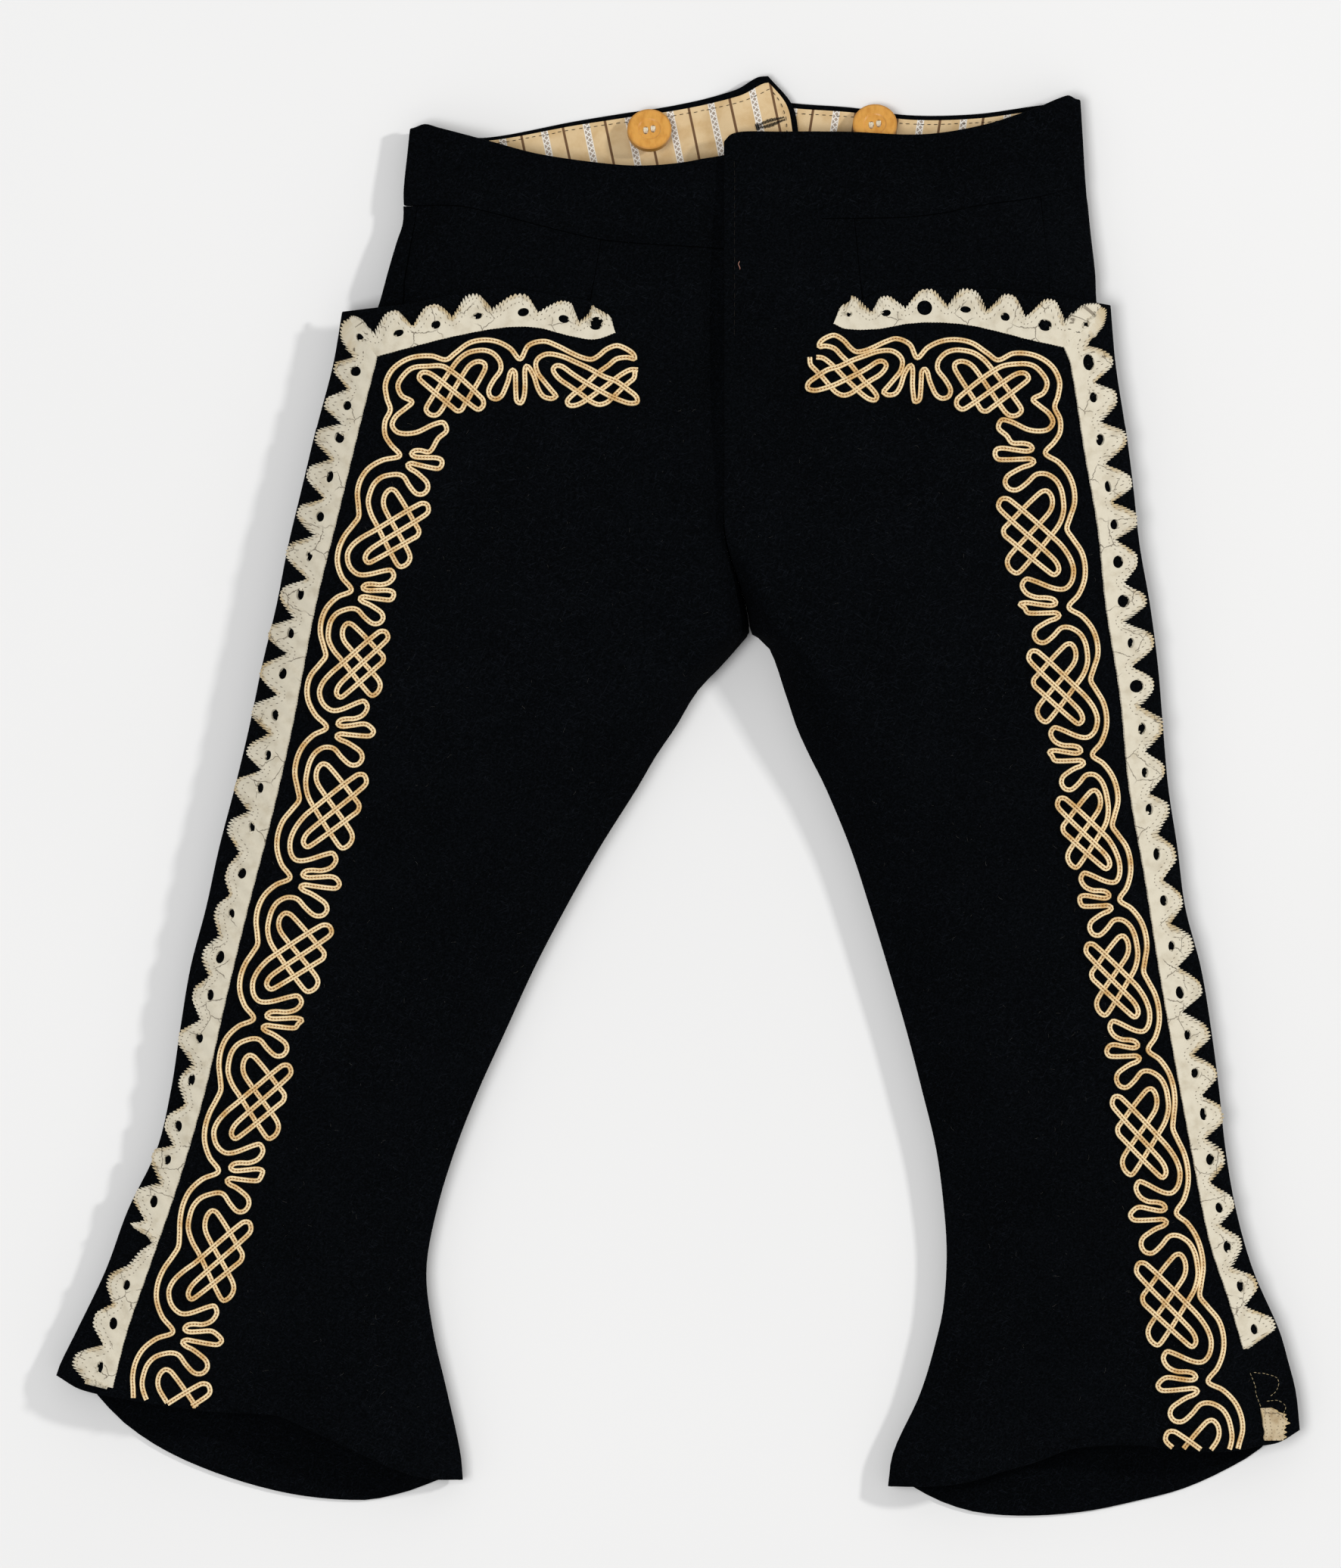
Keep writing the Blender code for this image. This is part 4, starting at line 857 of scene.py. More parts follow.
@dataclass(frozen=True)
class MattPaper(Finish):
    """Matt background paper: the eye gets an even pale ground with no grain."""

    name: str = "matt_background_paper"
    roughness: float = 0.9
    specular: float = 0.1
    ground: str = "#f0f0f0"
    tone: str = "#ededed"

    def material(self) -> Material:
        """Build the material.

        Returns:
            The material.
        """
        graph = self.start()
        return graph.close(graph.blend(graph.noise(graph.place(), 180, 1), self.ground, self.tone))


def activate(piece: Object) -> None:
    """Deselect everything, then select a piece and make it the active one.

    Args:
        piece: The piece.
    """
    bpy.ops.object.select_all(action="DESELECT")
    piece.select_set(True)
    bpy.context.view_layer.objects.active = piece


def apply_modifiers(piece: Object) -> None:
    """Apply a piece's modifiers in order.

    Args:
        piece: The piece.
    """
    activate(piece)
    for name in [modifier.name for modifier in piece.modifiers]:
        bpy.ops.object.modifier_apply(modifier=name)


def add_mesh(name: str, points: np.ndarray, faces: list, finish: Material) -> Object:
    """Make an object from points in millimetres.

    Args:
        name: Name of the piece.
        points: One row for each point.
        faces: Rows of point numbers.
        finish: Its material.

    Returns:
        The object, at the origin.
    """
    mesh = bpy.data.meshes.new(name)
    mesh.from_pydata((np.asarray(points, float) * MM).tolist(), [], faces)
    mesh.update()
    mesh.materials.append(finish)
    piece = bpy.data.objects.new(name, mesh)
    bpy.context.scene.collection.objects.link(piece)
    return piece


def add_uv(mesh: Mesh, uv: np.ndarray) -> None:
    """Give a mesh its UV map, from one row for each point.

    Args:
        mesh: The mesh.
        uv: Its places on the map.
    """
    order = np.zeros(len(mesh.loops), int)
    mesh.loops.foreach_get("vertex_index", order)
    mesh.uv_layers.new(name="UVMap").data.foreach_set("uv", uv[order].ravel().astype(np.float32))


def tube(rings: int, sides: int, base: int) -> tuple[np.ndarray, list, list]:
    """Faces of a tube through rings of points.

    Args:
        rings: Number of rings.
        sides: Number of points of a ring.
        base: Number of the first point.

    Returns:
        The rows of its wall, and the points of its first and last ring.
    """
    number = np.arange(rings * sides).reshape(rings, sides) + base
    after = np.roll(number, -1, axis=1)
    wall = np.stack([number[:-1], after[:-1], after[1:], number[1:]], axis=-1).reshape(-1, 4)
    return wall, number[0].tolist(), number[-1].tolist()


def smooth_shade(piece: Object, angle: float = 40.0) -> None:
    """Shade a piece smooth, with its edges past an angle in degrees left sharp."""
    activate(piece)
    bpy.ops.object.shade_smooth_by_angle(angle=math.radians(angle))


def corners_of(grid: np.ndarray) -> tuple[np.ndarray, ...]:
    """The values at the four corners of each face of a grid, in turn."""
    return grid[:-1, :-1], grid[:-1, 1:], grid[1:, 1:], grid[1:, :-1]


@dataclass
class Sheet:
    """A wall of cloth or leather under a grid of points; a place with no number stays open."""

    name: str
    points: np.ndarray
    wall: float
    facing: Facing
    finish: Material
    uv: np.ndarray | None = None
    rim: np.ndarray | None = None
    edge_round: float = 0.45
    kept: np.ndarray | None = None

    def build(self) -> Object:
        """Make the wall, with no face where `kept` says so.

        Returns:
            The finished piece.
        """
        there = ~np.isnan(self.points[..., 0])
        corners = np.stack(corners_of(np.cumsum(there.ravel()).reshape(there.shape) - 1), axis=-1)
        whole = np.logical_and.reduce(corners_of(there))
        if self.kept is not None:
            whole &= self.kept
        piece = add_mesh(self.name, self.points[there], corners[whole].tolist(), self.finish)
        mesh = piece.data
        lowest = mesh.polygons[len(mesh.polygons) // 2].normal.z
        if (lowest > 0) != (self.facing is Facing.UP):
            mesh.flip_normals()
        if self.uv is not None:
            add_uv(mesh, self.uv[there])
        if self.rim is not None:
            attribute = mesh.attributes.new("rim", "FLOAT", "POINT")
            attribute.data.foreach_set("value", (self.rim[there] * MM).astype(np.float32))
        solidify = piece.modifiers.new("wall", "SOLIDIFY")
        solidify.thickness = self.wall * MM
        solidify.offset = -1
        if self.edge_round:
            bevel = piece.modifiers.new("edge", "BEVEL")
            bevel.width = self.edge_round * MM
            bevel.segments = 2
            bevel.limit_method = "ANGLE"
            bevel.angle_limit = math.radians(60)
            bevel.use_clamp_overlap = True
        apply_modifiers(piece)
        smooth_shade(piece)
        return piece


def dress(piece: Object, slot: str, *nodes: str) -> Object:
    """Fix a finished piece to the body and hide the solids that it replaces.

    Args:
        piece: The piece.
        slot: The record's material slot; it is not used.
        nodes: The solids that it replaces.

    Returns:
        The piece.
    """
    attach(piece, "root")
    if nodes:
        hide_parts(*nodes)
    return piece


def lay(sheet: Sheet, slot: str, node: str, cut: tuple) -> Object:
    """Build a sheet in the place of its solid.

    Args:
        sheet: The sheet.
        slot: The record's material slot.
        node: The solid that it replaces.
        cut: Width, length and area of what shows of it, laid flat, in metres; it is not used.

    Returns:
        The finished piece.
    """
    width, length, area = cut
    piece = dress(sheet.build(), slot, node)
    return piece


def path_along(rows: list, step: float) -> tuple[np.ndarray, np.ndarray]:
    """Even steps along the smooth curve through a list of rows.

    Args:
        rows: Rows of x, y and any further values.
        step: Distance between places, in millimetres.

    Returns:
        The rows at the steps, and the distance of each from the start.
    """
    table = np.array(rows, float)
    runs = np.concatenate([[0], np.cumsum(np.hypot(*np.diff(table[:, :2], axis=0).T))])
    places = np.linspace(0, runs[-1], max(int(round(runs[-1] / step)), 1) + 1)
    columns = [Curve(tuple(zip(runs, column)))(places) for column in table.T]
    return np.stack(columns, axis=-1), places


def side_vectors(plan: np.ndarray) -> np.ndarray:
    """Unit vectors to the left of a plan route at each of its points.

    Args:
        plan: Points of the route.

    Returns:
        One vector for each point.
    """
    ahead = np.gradient(plan[:, :2], axis=0)
    ahead /= np.linalg.norm(ahead, axis=1, keepdims=True)
    return np.stack([-ahead[:, 1], ahead[:, 0]], axis=-1)


@dataclass
class WoolPanels:
    """Front, hip and back pieces of one half."""

    half: Half
    wool: Material
    outer_lines: int = 46
    inner_lines: int = 48
    rows: int = 200
    seam_rows: int = 16
    head_rows: int = 24
    back_rows: int = 110
    roll_lines: int = 9
    flat_lines: int = 24
    seam_drop: float = 0.1
    front_cut: tuple = (0.25, 0.5, 0.067)
    back_cut: tuple = (0.27, 0.53, 0.073)
    hip_cut: tuple = (0.08, 0.055, 0.0034)

    def front_lines(self) -> np.ndarray:
        """Shares of the width at which the front's lengthwise lines run.

        Returns:
            The shares, from the outer edge to the inner one.
        """
        y = self.half.pocket_end[0][0]
        outer = self.half.leg_outer(y)
        end = (self.half.pocket_end[0][1] - outer) / (self.half.front_inner(y) - outer)
        first = end * np.linspace(0, 1, self.outer_lines) ** 1.35
        rest = mix(end, 1, np.linspace(0, 1, self.inner_lines + 1)[1:])
        return np.concatenate([first, rest])

    def head_edge(self) -> float:
        """Where the right waistband ends beside the head of the fly."""
        return float(mix(self.half.pocket_end[1][1], self.half.inner_edge + self.half.seam_gap(CROTCH_Y), 0.25))

    def front(self) -> Object:
        """Front leg, from the hem to the pocket mouth, with what runs up beside the fly.

        Returns:
            The finished piece.
        """
        half, lines = self.half, self.front_lines()
        end = self.outer_lines - 1
        (hem_outer, _), (hem_inner, _) = half.ends(half.front_hem)
        hem_y = half.front_hem(mix(hem_outer, hem_inner, lines))
        mouth_y = half.mouth(mix(half.leg_outer(MOUTH_Y), half.front_inner(MOUTH_Y), lines))
        shares = np.linspace(0, 1, self.rows)[:, None]
        y = mix(hem_y, mouth_y, shares)
        x = mix(half.leg_outer(y), half.front_inner(y), lines)
        leg = half.face(x, y)
        low = leg[-1, end:]
        run = (low[:, 0] - low[0, 0]) / (low[-1, 0] - low[0, 0])
        top_x = mix(half.pocket_end[1][1], half.inner_edge + half.seam_gap(CROTCH_Y), run)
        under_band = run <= 0.25 if half.inward < 0 else np.full(len(run), True)
        top_y = half.band_seam(top_x) - np.where(under_band, GAP, 0)
        climb = np.linspace(0, 1, self.seam_rows)[1:, None]
        upper = half.face(mix(low[:, 0], top_x, climb), mix(low[:, 1], top_y, climb))
        blocks = [leg, np.pad(upper, ((0, 0), (end, 0), (0, 0)), constant_values=np.nan)]
        if half.inward < 0:
            first = end + self.inner_lines // 4
            seam = blocks[1][-1, first:]
            climb = np.linspace(0, 1, self.head_rows)[1:, None]
            head_y = mix(seam[:, 1], half.band_top(seam[:, 0]), climb)
            head = half.face(np.broadcast_to(seam[:, 0], head_y.shape), head_y, outer=half.seat_outer, wall=BAND)
            blocks.append(np.pad(head, ((0, 0), (first, 0), (0, 0)), constant_values=np.nan))
        sheet = Sheet(f"front_panel_{half.name}", np.concatenate(blocks), CLOTH, Facing.UP, self.wool)
        return lay(sheet, "wool", f"front_{half.name}", self.front_cut)

    def tucked(self, x: np.ndarray, y: np.ndarray) -> np.ndarray:
        """Cloth behind the pocket mouth: under the front below it, level with the front above it."""
        share = 1 - ease(TUCK_START, TUCK_END, y - self.half.mouth(x))
        return self.half.face(x, y, -(CLOTH + GAP) * share, self.half.seat_outer)

    def hip(self) -> Object:
        """Cloth behind the pocket mouth, set between the side seam and the front.

        Returns:
            The finished piece.
        """
        half = self.half
        end_y, end_x = half.pocket_end[0]
        shares = np.linspace(0, 1, 60)
        gap = half.inward * GAP * (0.5 - shares)
        low_x = mix(half.side_seam(end_y), end_x, shares) + gap
        top_x = mix(half.side_seam.rows[-1][1], half.pocket_end[1][1], shares) + gap
        low_y, top_y = half.mouth(low_x), half.band_seam(top_x) - GAP
        rises = np.linspace(-POCKET_FACING, TUCK_END, 26)[:, None]
        y = np.concatenate([low_y + rises, mix(low_y + TUCK_END, top_y, np.linspace(0, 1, 22)[1:, None])])
        x = mix(low_x, top_x, (y - low_y) / (top_y - low_y))
        sheet = Sheet(f"hip_panel_{half.name}", self.tucked(x, y), CLOTH, Facing.UP, self.wool)
        return lay(sheet, "wool", f"hip_{half.name}", self.hip_cut)

    def rolled(self, y: np.ndarray, turn: float, outer: bool) -> np.ndarray:
        """Underside where it rolls up to a seam; turn is 0 at the seam and 1 on the table.

        Args:
            y: Places along the garment.
            turn: Share of the roll.
            outer: Whether it is the outer seam.

        Returns:
            The points.
        """
        half = self.half
        height = SIDE_SEAM(y) - self.seam_drop
        angle = turn * math.pi / 2
        if outer:
            edge = np.where(y > half.seat_outer.rows[-1][0], half.seat_outer(y), half.leg_outer(y))
            reach, inward = SEAT_ROLL, half.inward
        else:
            valley = 1 - ease(CROTCH_Y, VALLEY_TOP_Y, y)
            edge = half.inner_line(y) + half.seam_gap(y)
            reach, inward = mix(2, SEAT_ROLL, valley), -half.inward
            height = height * valley
        x = edge + inward * reach * (1 - math.cos(angle))
        return np.stack([x, y, height * (1 - math.sin(angle))], axis=-1)

    def back(self) -> Object:
        """Back leg and seat, flat on the table, rolled up to the seams and round the hip.

        Returns:
            The finished piece.
        """
        half = self.half
        (hem_outer, _), (hem_inner, _) = half.ends(half.back_hem)
        (_, mouth_outer), (_, mouth_inner) = half.ends(half.mouth)
        flat = np.linspace(0, 1, self.flat_lines + 1)
        turns = np.linspace(0, 1, self.roll_lines + 1)
        across = np.concatenate([np.zeros(6 + self.roll_lines), flat, np.ones(self.roll_lines)])
        hem_y = half.back_hem(mix(hem_outer, hem_inner, across))
        top_y = mix(mouth_outer, mouth_inner, across)
        leg_y = mix(hem_y, top_y, np.linspace(0, 1, self.back_rows)[:, None])
        seat_y = mix(top_y, BACK_SEAM_Y - GAP, np.linspace(0, 1, 18)[1:, None])
        ys = np.concatenate([leg_y, seat_y]).T
        lines = []
        for place, share in enumerate((0, 0.2, 0.42, 0.64, 0.84, 0.97)):
            side_y = ys[place][-1]
            top = half.band_seam(mix(half.side_seam(side_y), half.seat_outer(side_y), share)) - GAP
            y = np.where(ys[place] > mouth_outer, mix(mouth_outer, top, (ys[place] - mouth_outer) / (
                side_y - mouth_outer)), ys[place])
            seam = half.side_seam(y) - half.inward * GAP / 2
            strip = self.tucked(mix(seam, half.seat_outer(y), share), y)
            strip[ys[place] < mouth_outer - SIDE_TUCK] = np.nan
            lines.append(strip)
        for place, turn in enumerate(turns[:-1]):
            lines.append(self.rolled(ys[6 + place], turn, True))
        start = 6 + self.roll_lines
        for place, share in enumerate(flat):
            y = ys[start + place]
            line = mix(self.rolled(y, 1, True), self.rolled(y, 1, False), share)
            for crease in half.back_creases:
                line[:, 2] += crease.relief(line[:, 0], line[:, 1]) * math.sin(math.pi * share)
            lines.append(line)
        for place, turn in enumerate(turns[::-1][1:]):
            lines.append(self.rolled(ys[start + self.flat_lines + 1 + place], turn, False))
        grid = np.stack(lines, axis=1)
        sheet = Sheet(f"back_panel_{half.name}", grid, CLOTH, Facing.DOWN, self.wool)
        return lay(sheet, "wool", f"back_{half.name}", self.back_cut)


@dataclass
class Waistband:
    """Front and back waistband of one half, and the back one's striped lining."""

    half: Half
    wool: Material
    cotton: Material
    head_edge: float
    head_lap: float = 3.0
    head_drop: float = 0.05
    seam_drop: float = 0.1
    stripe_turn: float = 12.0
    stripe_start: float = 26.3
    front_cut: tuple = (0.04, 0.14, 0.0041)
    back_cut: tuple = (0.05, 0.16, 0.0054)
    lining_cut: tuple = (0.035, 0.14, 0.0035)

    def front(self) -> Object:
        """Front waistband, from the side to the fly.

        Returns:
            The finished piece.
        """
        half = self.half
        start = half.seat_outer(245)
        end = half.inner_edge if half.inward > 0 else self.head_edge - self.head_lap
        shares = np.linspace(0, 1, 110)
        x = mix(start, end, shares)[None, :] + np.zeros((34, 1))
        y = mix(half.band_seam(x), half.band_top(x), np.linspace(0, 1, 34)[:, None])
        x = x + (half.seat_outer(y) - start) * (1 - ease(0, 0.1, shares))
        under = ease(self.head_edge + 1, self.head_edge, x) if half.inward < 0 else np.zeros_like(x)
        points = half.face(x, y, -self.head_drop * under, half.seat_outer, BAND)
        sheet = Sheet(f"front_waistband_{half.name}", points, BAND, Facing.UP, self.wool, edge_round=0.8)
        return lay(sheet, "wool", f"waistband_front_{half.name}", self.front_cut)

    def tab_rise(self, x: np.ndarray) -> np.ndarray:
        """How far the left band is lifted where its end lies on the right one.

        Args:
            x: Places across the garment.

        Returns:
            Heights at the places.
        """
        if self.half.inward < 0:
            return np.zeros_like(x)
        return (CLOTH + LINING + 2 * LINING_LIFT) * ease(TAB_RISE_START, TAB_RISE_END, x)

    def back_points(self, across: np.ndarray, rise: np.ndarray, lift: float) -> np.ndarray:
        """Points of the back band; across runs from the side to the centre back.

        Args:
            across: Shares of its length.
            rise: Shares of its height.
            lift: How far above its underside.

        Returns:
            The points.
        """
        half = self.half
        _, end_x = half.back_end.rows[-1]
        top_x = mix(half.seat_outer(252), end_x, across)
        y = mix(BACK_SEAM_Y + GAP, half.back_top(top_x), rise)
        side_x = half.seat_outer(y)
        x = mix(side_x, half.back_end(y), across)
        turn = np.minimum(np.abs(x - side_x) / SEAT_ROLL, 1)
        roll = (SIDE_SEAM(y) - self.seam_drop) * (1 - np.sqrt(1 - (1 - turn) ** 2))
        return np.stack([x, y, roll + self.tab_rise(x) + lift], axis=-1)

    def back(self) -> Object:
        """Back waistband half, on the table, the left end over the right one.

        Returns:
            The finished piece.
        """
        across = np.concatenate([np.linspace(0, 0.08, 12), np.linspace(0.08, 1, 90)[1:]])
        points = self.back_points(across, np.linspace(0, 1, 30)[:, None], 0)
        sheet = Sheet(f"back_waistband_{self.half.name}", points, CLOTH, Facing.DOWN, self.wool, edge_round=0.6)
        return lay(sheet, "wool", f"waistband_back_{self.half.name}", self.back_cut)

    def lining(self) -> Object:
        """Striped lining on the inside of the back waistband.

        Returns:
            The finished piece.
        """
        half = self.half
        across = np.linspace(0.11, 0.985, 120)
        rise = np.linspace(0.2, LINING_TOP, 40)[:, None]
        points = self.back_points(across, rise, CLOTH + LINING_LIFT)
        ripple = 0.35 * np.sin(points[..., 0] / 5.3 + points[..., 1] / 9) * np.sin(points[..., 1] / 4.1 + 1)
        points[..., 2] += ripple * ease(0, 0.25, 1 - rise) * 0.6
        turn = math.radians(self.stripe_turn) * half.inward
        over = points[..., 0] * math.cos(turn) + points[..., 1] * math.sin(turn) - self.stripe_start
        along = -points[..., 0] * math.sin(turn) + points[..., 1] * math.cos(turn)
        sheet = Sheet(f"waistband_lining_{half.name}", points, LINING, Facing.DOWN, self.cotton,
                      uv=np.stack([over, along], axis=-1) * MM, edge_round=0.3)
        return lay(sheet, "lining", f"lining_back_{half.name}", self.lining_cut)


@dataclass
class LeatherTrim:
    """One scalloped leather strip of a half, with its pierced eyelets.

    A lobe is a row of its tip's distance along the strip and reach, then those of the valley after it.
    """

    half: Half
    strip: Strip
    skin: Material
    start: tuple
    lobes: tuple
    eyelet: tuple
    wide: dict = field(default_factory=dict)
    torn: tuple = ()
    spacing: float = 0.34
    lines: int = 21
    lift: float = 0.08
    edge_margin: float = 0.9
    tooth: float = 1.45
    tooth_depth: float = 1.9
    least_step: float = 0.02
    corner_eyelet: tuple = (3.6, 2.6, 0.7)
    rim_reach: float = 9.0
    rim_steps: int = 24
    fine_steps: int = 9000
    cut: tuple = (0.014, 0.1, 0.00125)

    def route(self) -> tuple[np.ndarray, ...]:
        """Places along the strip's inner edge, their x, y and their outward directions.

        Returns:
            Distances, plan points and unit vectors.
        """
        half = self.half
        rows = half.leather_pocket if self.strip is Strip.POCKET else half.leather_leg
        plan, places = path_along(rows, 0.5)
        return places, plan, -half.inward * side_vectors(plan)

    def spot(self, along: np.ndarray, off: np.ndarray) -> tuple[np.ndarray, np.ndarray]:
        """X, y of points of the strip, round the corner too.

        Args:
            along: Distances along it; past the corner's end of it they turn about the corner.
            off: Distances from its inner edge.

        Returns:
            Their x and y.
        """
        places, plan, out = self.route()
        corner_first = self.strip is Strip.LEG
        tip = np.array(self.half.corner)
        corner = plan[0] if corner_first else plan[-1]
        mitre = (tip - corner) / np.linalg.norm(tip - corner)
        past = np.clip(-along if corner_first else along - places[-1], 0, 1)
        base = out[0] if corner_first else out[-1]
        inside = np.clip(along, places[0], places[-1])
        x, y = (np.interp(inside, places, plan[:, axis]) for axis in (0, 1))
        out_x, out_y = (np.where(past > 0, mix(base[axis], mitre[axis], past), np.interp(
            inside, places, out[:, axis])) for axis in (0, 1))
        size = np.hypot(out_x, out_y)
        return x + out_x / size * off, y + out_y / size * off

    def edge(self) -> tuple[np.ndarray, np.ndarray]:
        """The toothed outline of the strip as distances along it and reaches.

        Returns:
            Both at even steps round the lobes.
        """
        places, plan, _ = self.route()
        corner = plan[0] if self.strip is Strip.LEG else plan[-1]
        length = float(np.linalg.norm(np.array(self.half.corner) - corner))
        rows, (valley, low) = [self.start], self.start
        for tip, reach, next_valley, next_low in self.lobes:
            for share, rise in LOBE_RISE:
                rows.append((mix(valley, tip, share), mix(low, reach, rise)))
            for share, rise in LOBE_FALL:
                rows.append((mix(tip, next_valley, share), mix(next_low, reach, rise)))
            valley, low = next_valley, next_low
        outline = np.array([row for row in rows if not any(a < row[0] < b for a, b, _ in self.torn)]
                           + [row for *_, gap in self.torn for row in gap])
        outline = outline[np.argsort(outline[:, 0], kind="stable")]
        fan = np.array(CORNER_FAN) * (1, length)
        if self.strip is Strip.LEG:
            outline = np.concatenate([(fan * (-1, 1))[::-1], outline])
        else:
            outline = np.concatenate([outline, fan + (places[-1], 0)])
        fine = np.linspace(outline[0, 0], outline[-1, 0], self.fine_steps)
        keep = np.concatenate([[True], np.diff(outline[:, 0]) > 1e-3])
        reach = Curve(tuple(map(tuple, outline[keep])))(fine)
        stretch = np.where((fine < 0) | (fine > places[-1]), length * 0.7, 1.0)
        run = np.concatenate([[0], np.cumsum(np.hypot(np.diff(fine) * stretch[1:], np.diff(reach)))])
        steps = np.linspace(0, run[-1], int(run[-1] / self.spacing))
        along, reach = np.interp(steps, run, fine), np.interp(steps, run, reach)
        slope = np.stack([np.gradient(along) * np.interp(steps, run, stretch), np.gradient(reach)])
        slope /= np.linalg.norm(slope, axis=0)
        teeth = self.tooth_depth * (np.abs(np.sin(np.pi * steps / self.tooth + 0.5 * np.sin(steps / 6))) - 0.5)
        teeth *= 0.62 + 0.24 * np.sin(steps / 9) + 0.14 * np.sin(steps / 1.9)
        least = self.least_step * np.arange(len(along))
        order = np.maximum.accumulate(along - least) + least
        return order, np.maximum(reach + teeth / np.maximum(slope[0], 0.55), 0.6)

    def eyelets(self) -> list:
        """The eyelets, one in each lobe and one in the corner.

        Returns:
            For each, x and y of its middle, its two sizes and its turn.
        """
        holes = []
        for number, (tip, reach, _, _) in enumerate(self.lobes):
            if any(a < tip < b for a, b, _ in self.torn):
                continue
            along, across = self.wide.get(number, self.eyelet)
            along *= 1 + 0.1 * math.sin(4.3 * number)
            across *= 1 + 0.12 * math.sin(2.9 * number + 2)
            place = tip - 0.5 + 0.7 * math.sin(5.1 * number)
            off = 3.2 + 0.22 * reach + 0.4 * math.sin(5.7 * number)
            x, y = self.spot(np.array([place, place + 0.5]), np.array([off, off]))
            turn = math.atan2(y[1] - y[0], x[1] - x[0]) + self.half.inward * (0.1 + 0.12 * math.sin(3.7 * number))
            holes.append((float(x[0]), float(y[0]), along, across, turn))
        along, across, turn = self.corner_eyelet
        return [*holes, (*self.half.corner_hole, along, across, math.pi / 2 + self.half.inward * turn)]

    def pierce(self, x: np.ndarray, y: np.ndarray) -> tuple[np.ndarray, np.ndarray, np.ndarray]:
        """Open the eyelets in the strip's grid: what is inside one goes out to its edge.

        Args:
            x: Places across the garment.
            y: Places along it.

        Returns:
            The moved x and y, and which faces stay.
        """
        inside = np.zeros(x.shape, bool)
        for middle_x, middle_y, along, across, turn in self.eyelets():
            cos, sin = math.cos(turn), math.sin(turn)
            u = ((x - middle_x) * cos + (y - middle_y) * sin) / along * 2
            v = ((y - middle_y) * cos - (x - middle_x) * sin) / across * 2
            size = np.hypot(u, v)
            here = size < 1
            inside |= here
            u, v = u / np.maximum(size, 0.01) * along / 2, v / np.maximum(size, 0.01) * across / 2
            x = np.where(here, middle_x + u * cos - v * sin, x)
            y = np.where(here, middle_y + u * sin + v * cos, y)
        kept = ~np.logical_and.reduce(corners_of(inside))
        used = np.zeros(x.shape, bool)
        for corner in corners_of(used):
            corner |= kept
        return np.where(used, x, np.nan), y, kept

    def build(self) -> Object:
        """Make the strip.

        Returns:
            The finished piece.
        """
        half = self.half
        along, reach = self.edge()
        shares = np.linspace(0, 1, self.lines)[:, None]
        at_corner = (along < 0) | (along > self.route()[0][-1])
        base = np.where(at_corner, 0.06, 0.16 * np.abs(np.sin(np.pi * along / 1.2)) - 0.1)
        off = mix(base, reach, shares)
        x, y = self.spot(np.broadcast_to(along, off.shape), off)
        if self.strip is Strip.LEG:
            limit = half.leg_outer(y) + half.inward * self.edge_margin
            x = np.maximum(x, limit) if half.inward > 0 else np.minimum(x, limit)
        x, y, kept = self.pierce(x, y)
        wave = 0.3 * shares**3 * (0.6 + np.sin(along * 0.4)) + 0.1 * np.sin(along * 0.9 + off * 0.7)
        points = half.face(x, y, LEATHER + self.lift + np.clip(wave + 0.1, 0, None))
        rim = np.full(off.shape, self.rim_reach)
        for shift in range(-self.rim_steps, self.rim_steps + 1):
            rim = np.minimum(rim, np.hypot(along - np.roll(along, shift), off - np.roll(reach, shift)))
        uv = np.stack([np.broadcast_to(along, off.shape), off], axis=-1) * MM
        sheet = Sheet(f"{self.strip.value}_leather_{half.name}", points, LEATHER, Facing.UP, self.skin, uv=uv,
                      rim=rim, edge_round=0, kept=kept)
        return lay(sheet, "leather", f"leather_{self.strip.value}_{half.name}", self.cut)


@dataclass
class LeatherScrap:
    """Torn end of the right leg's leather that is left at the hem."""

    half: Half
    skin: Material
    rows: tuple = ((-247.2, 224.6, 6.2), (-246, 224.2, 8.4), (-244, 224.6, 7.2), (-241.5, 224.0, 8.8),
                   (-239, 223.8, 9.2), (-236.8, 223.4, 7.4), (-234.8, 223.0, 4.6))

    def build(self) -> Object:
        """Make the scrap.

        Returns:
            The finished piece.
        """
        ys = np.linspace(self.rows[0][0], self.rows[-1][0], 34)
        start = Curve(tuple((y, x) for y, x, _ in self.rows))(ys)
        width = Curve(tuple((y, w) for y, _, w in self.rows))(ys) + 0.6 * np.sin(ys * 3.7) + 0.5 * np.sin(ys * 1.9)
        shares = np.linspace(0, 1, 16)
        x = start + width * shares[:, None]
        y = np.broadcast_to(ys, x.shape)
        points = self.half.face(x, y, LEATHER + 0.1 + 0.25 * shares[:, None] ** 2)
        rim = np.minimum(np.minimum(x - start, start + width - x), 4)
        sheet = Sheet("leather_scrap", points, LEATHER, Facing.UP, self.skin, uv=np.stack([y, x], axis=-1) * MM,
                      rim=rim, edge_round=0)
        return dress(sheet.build(), "leather", "leather_scrap_right")


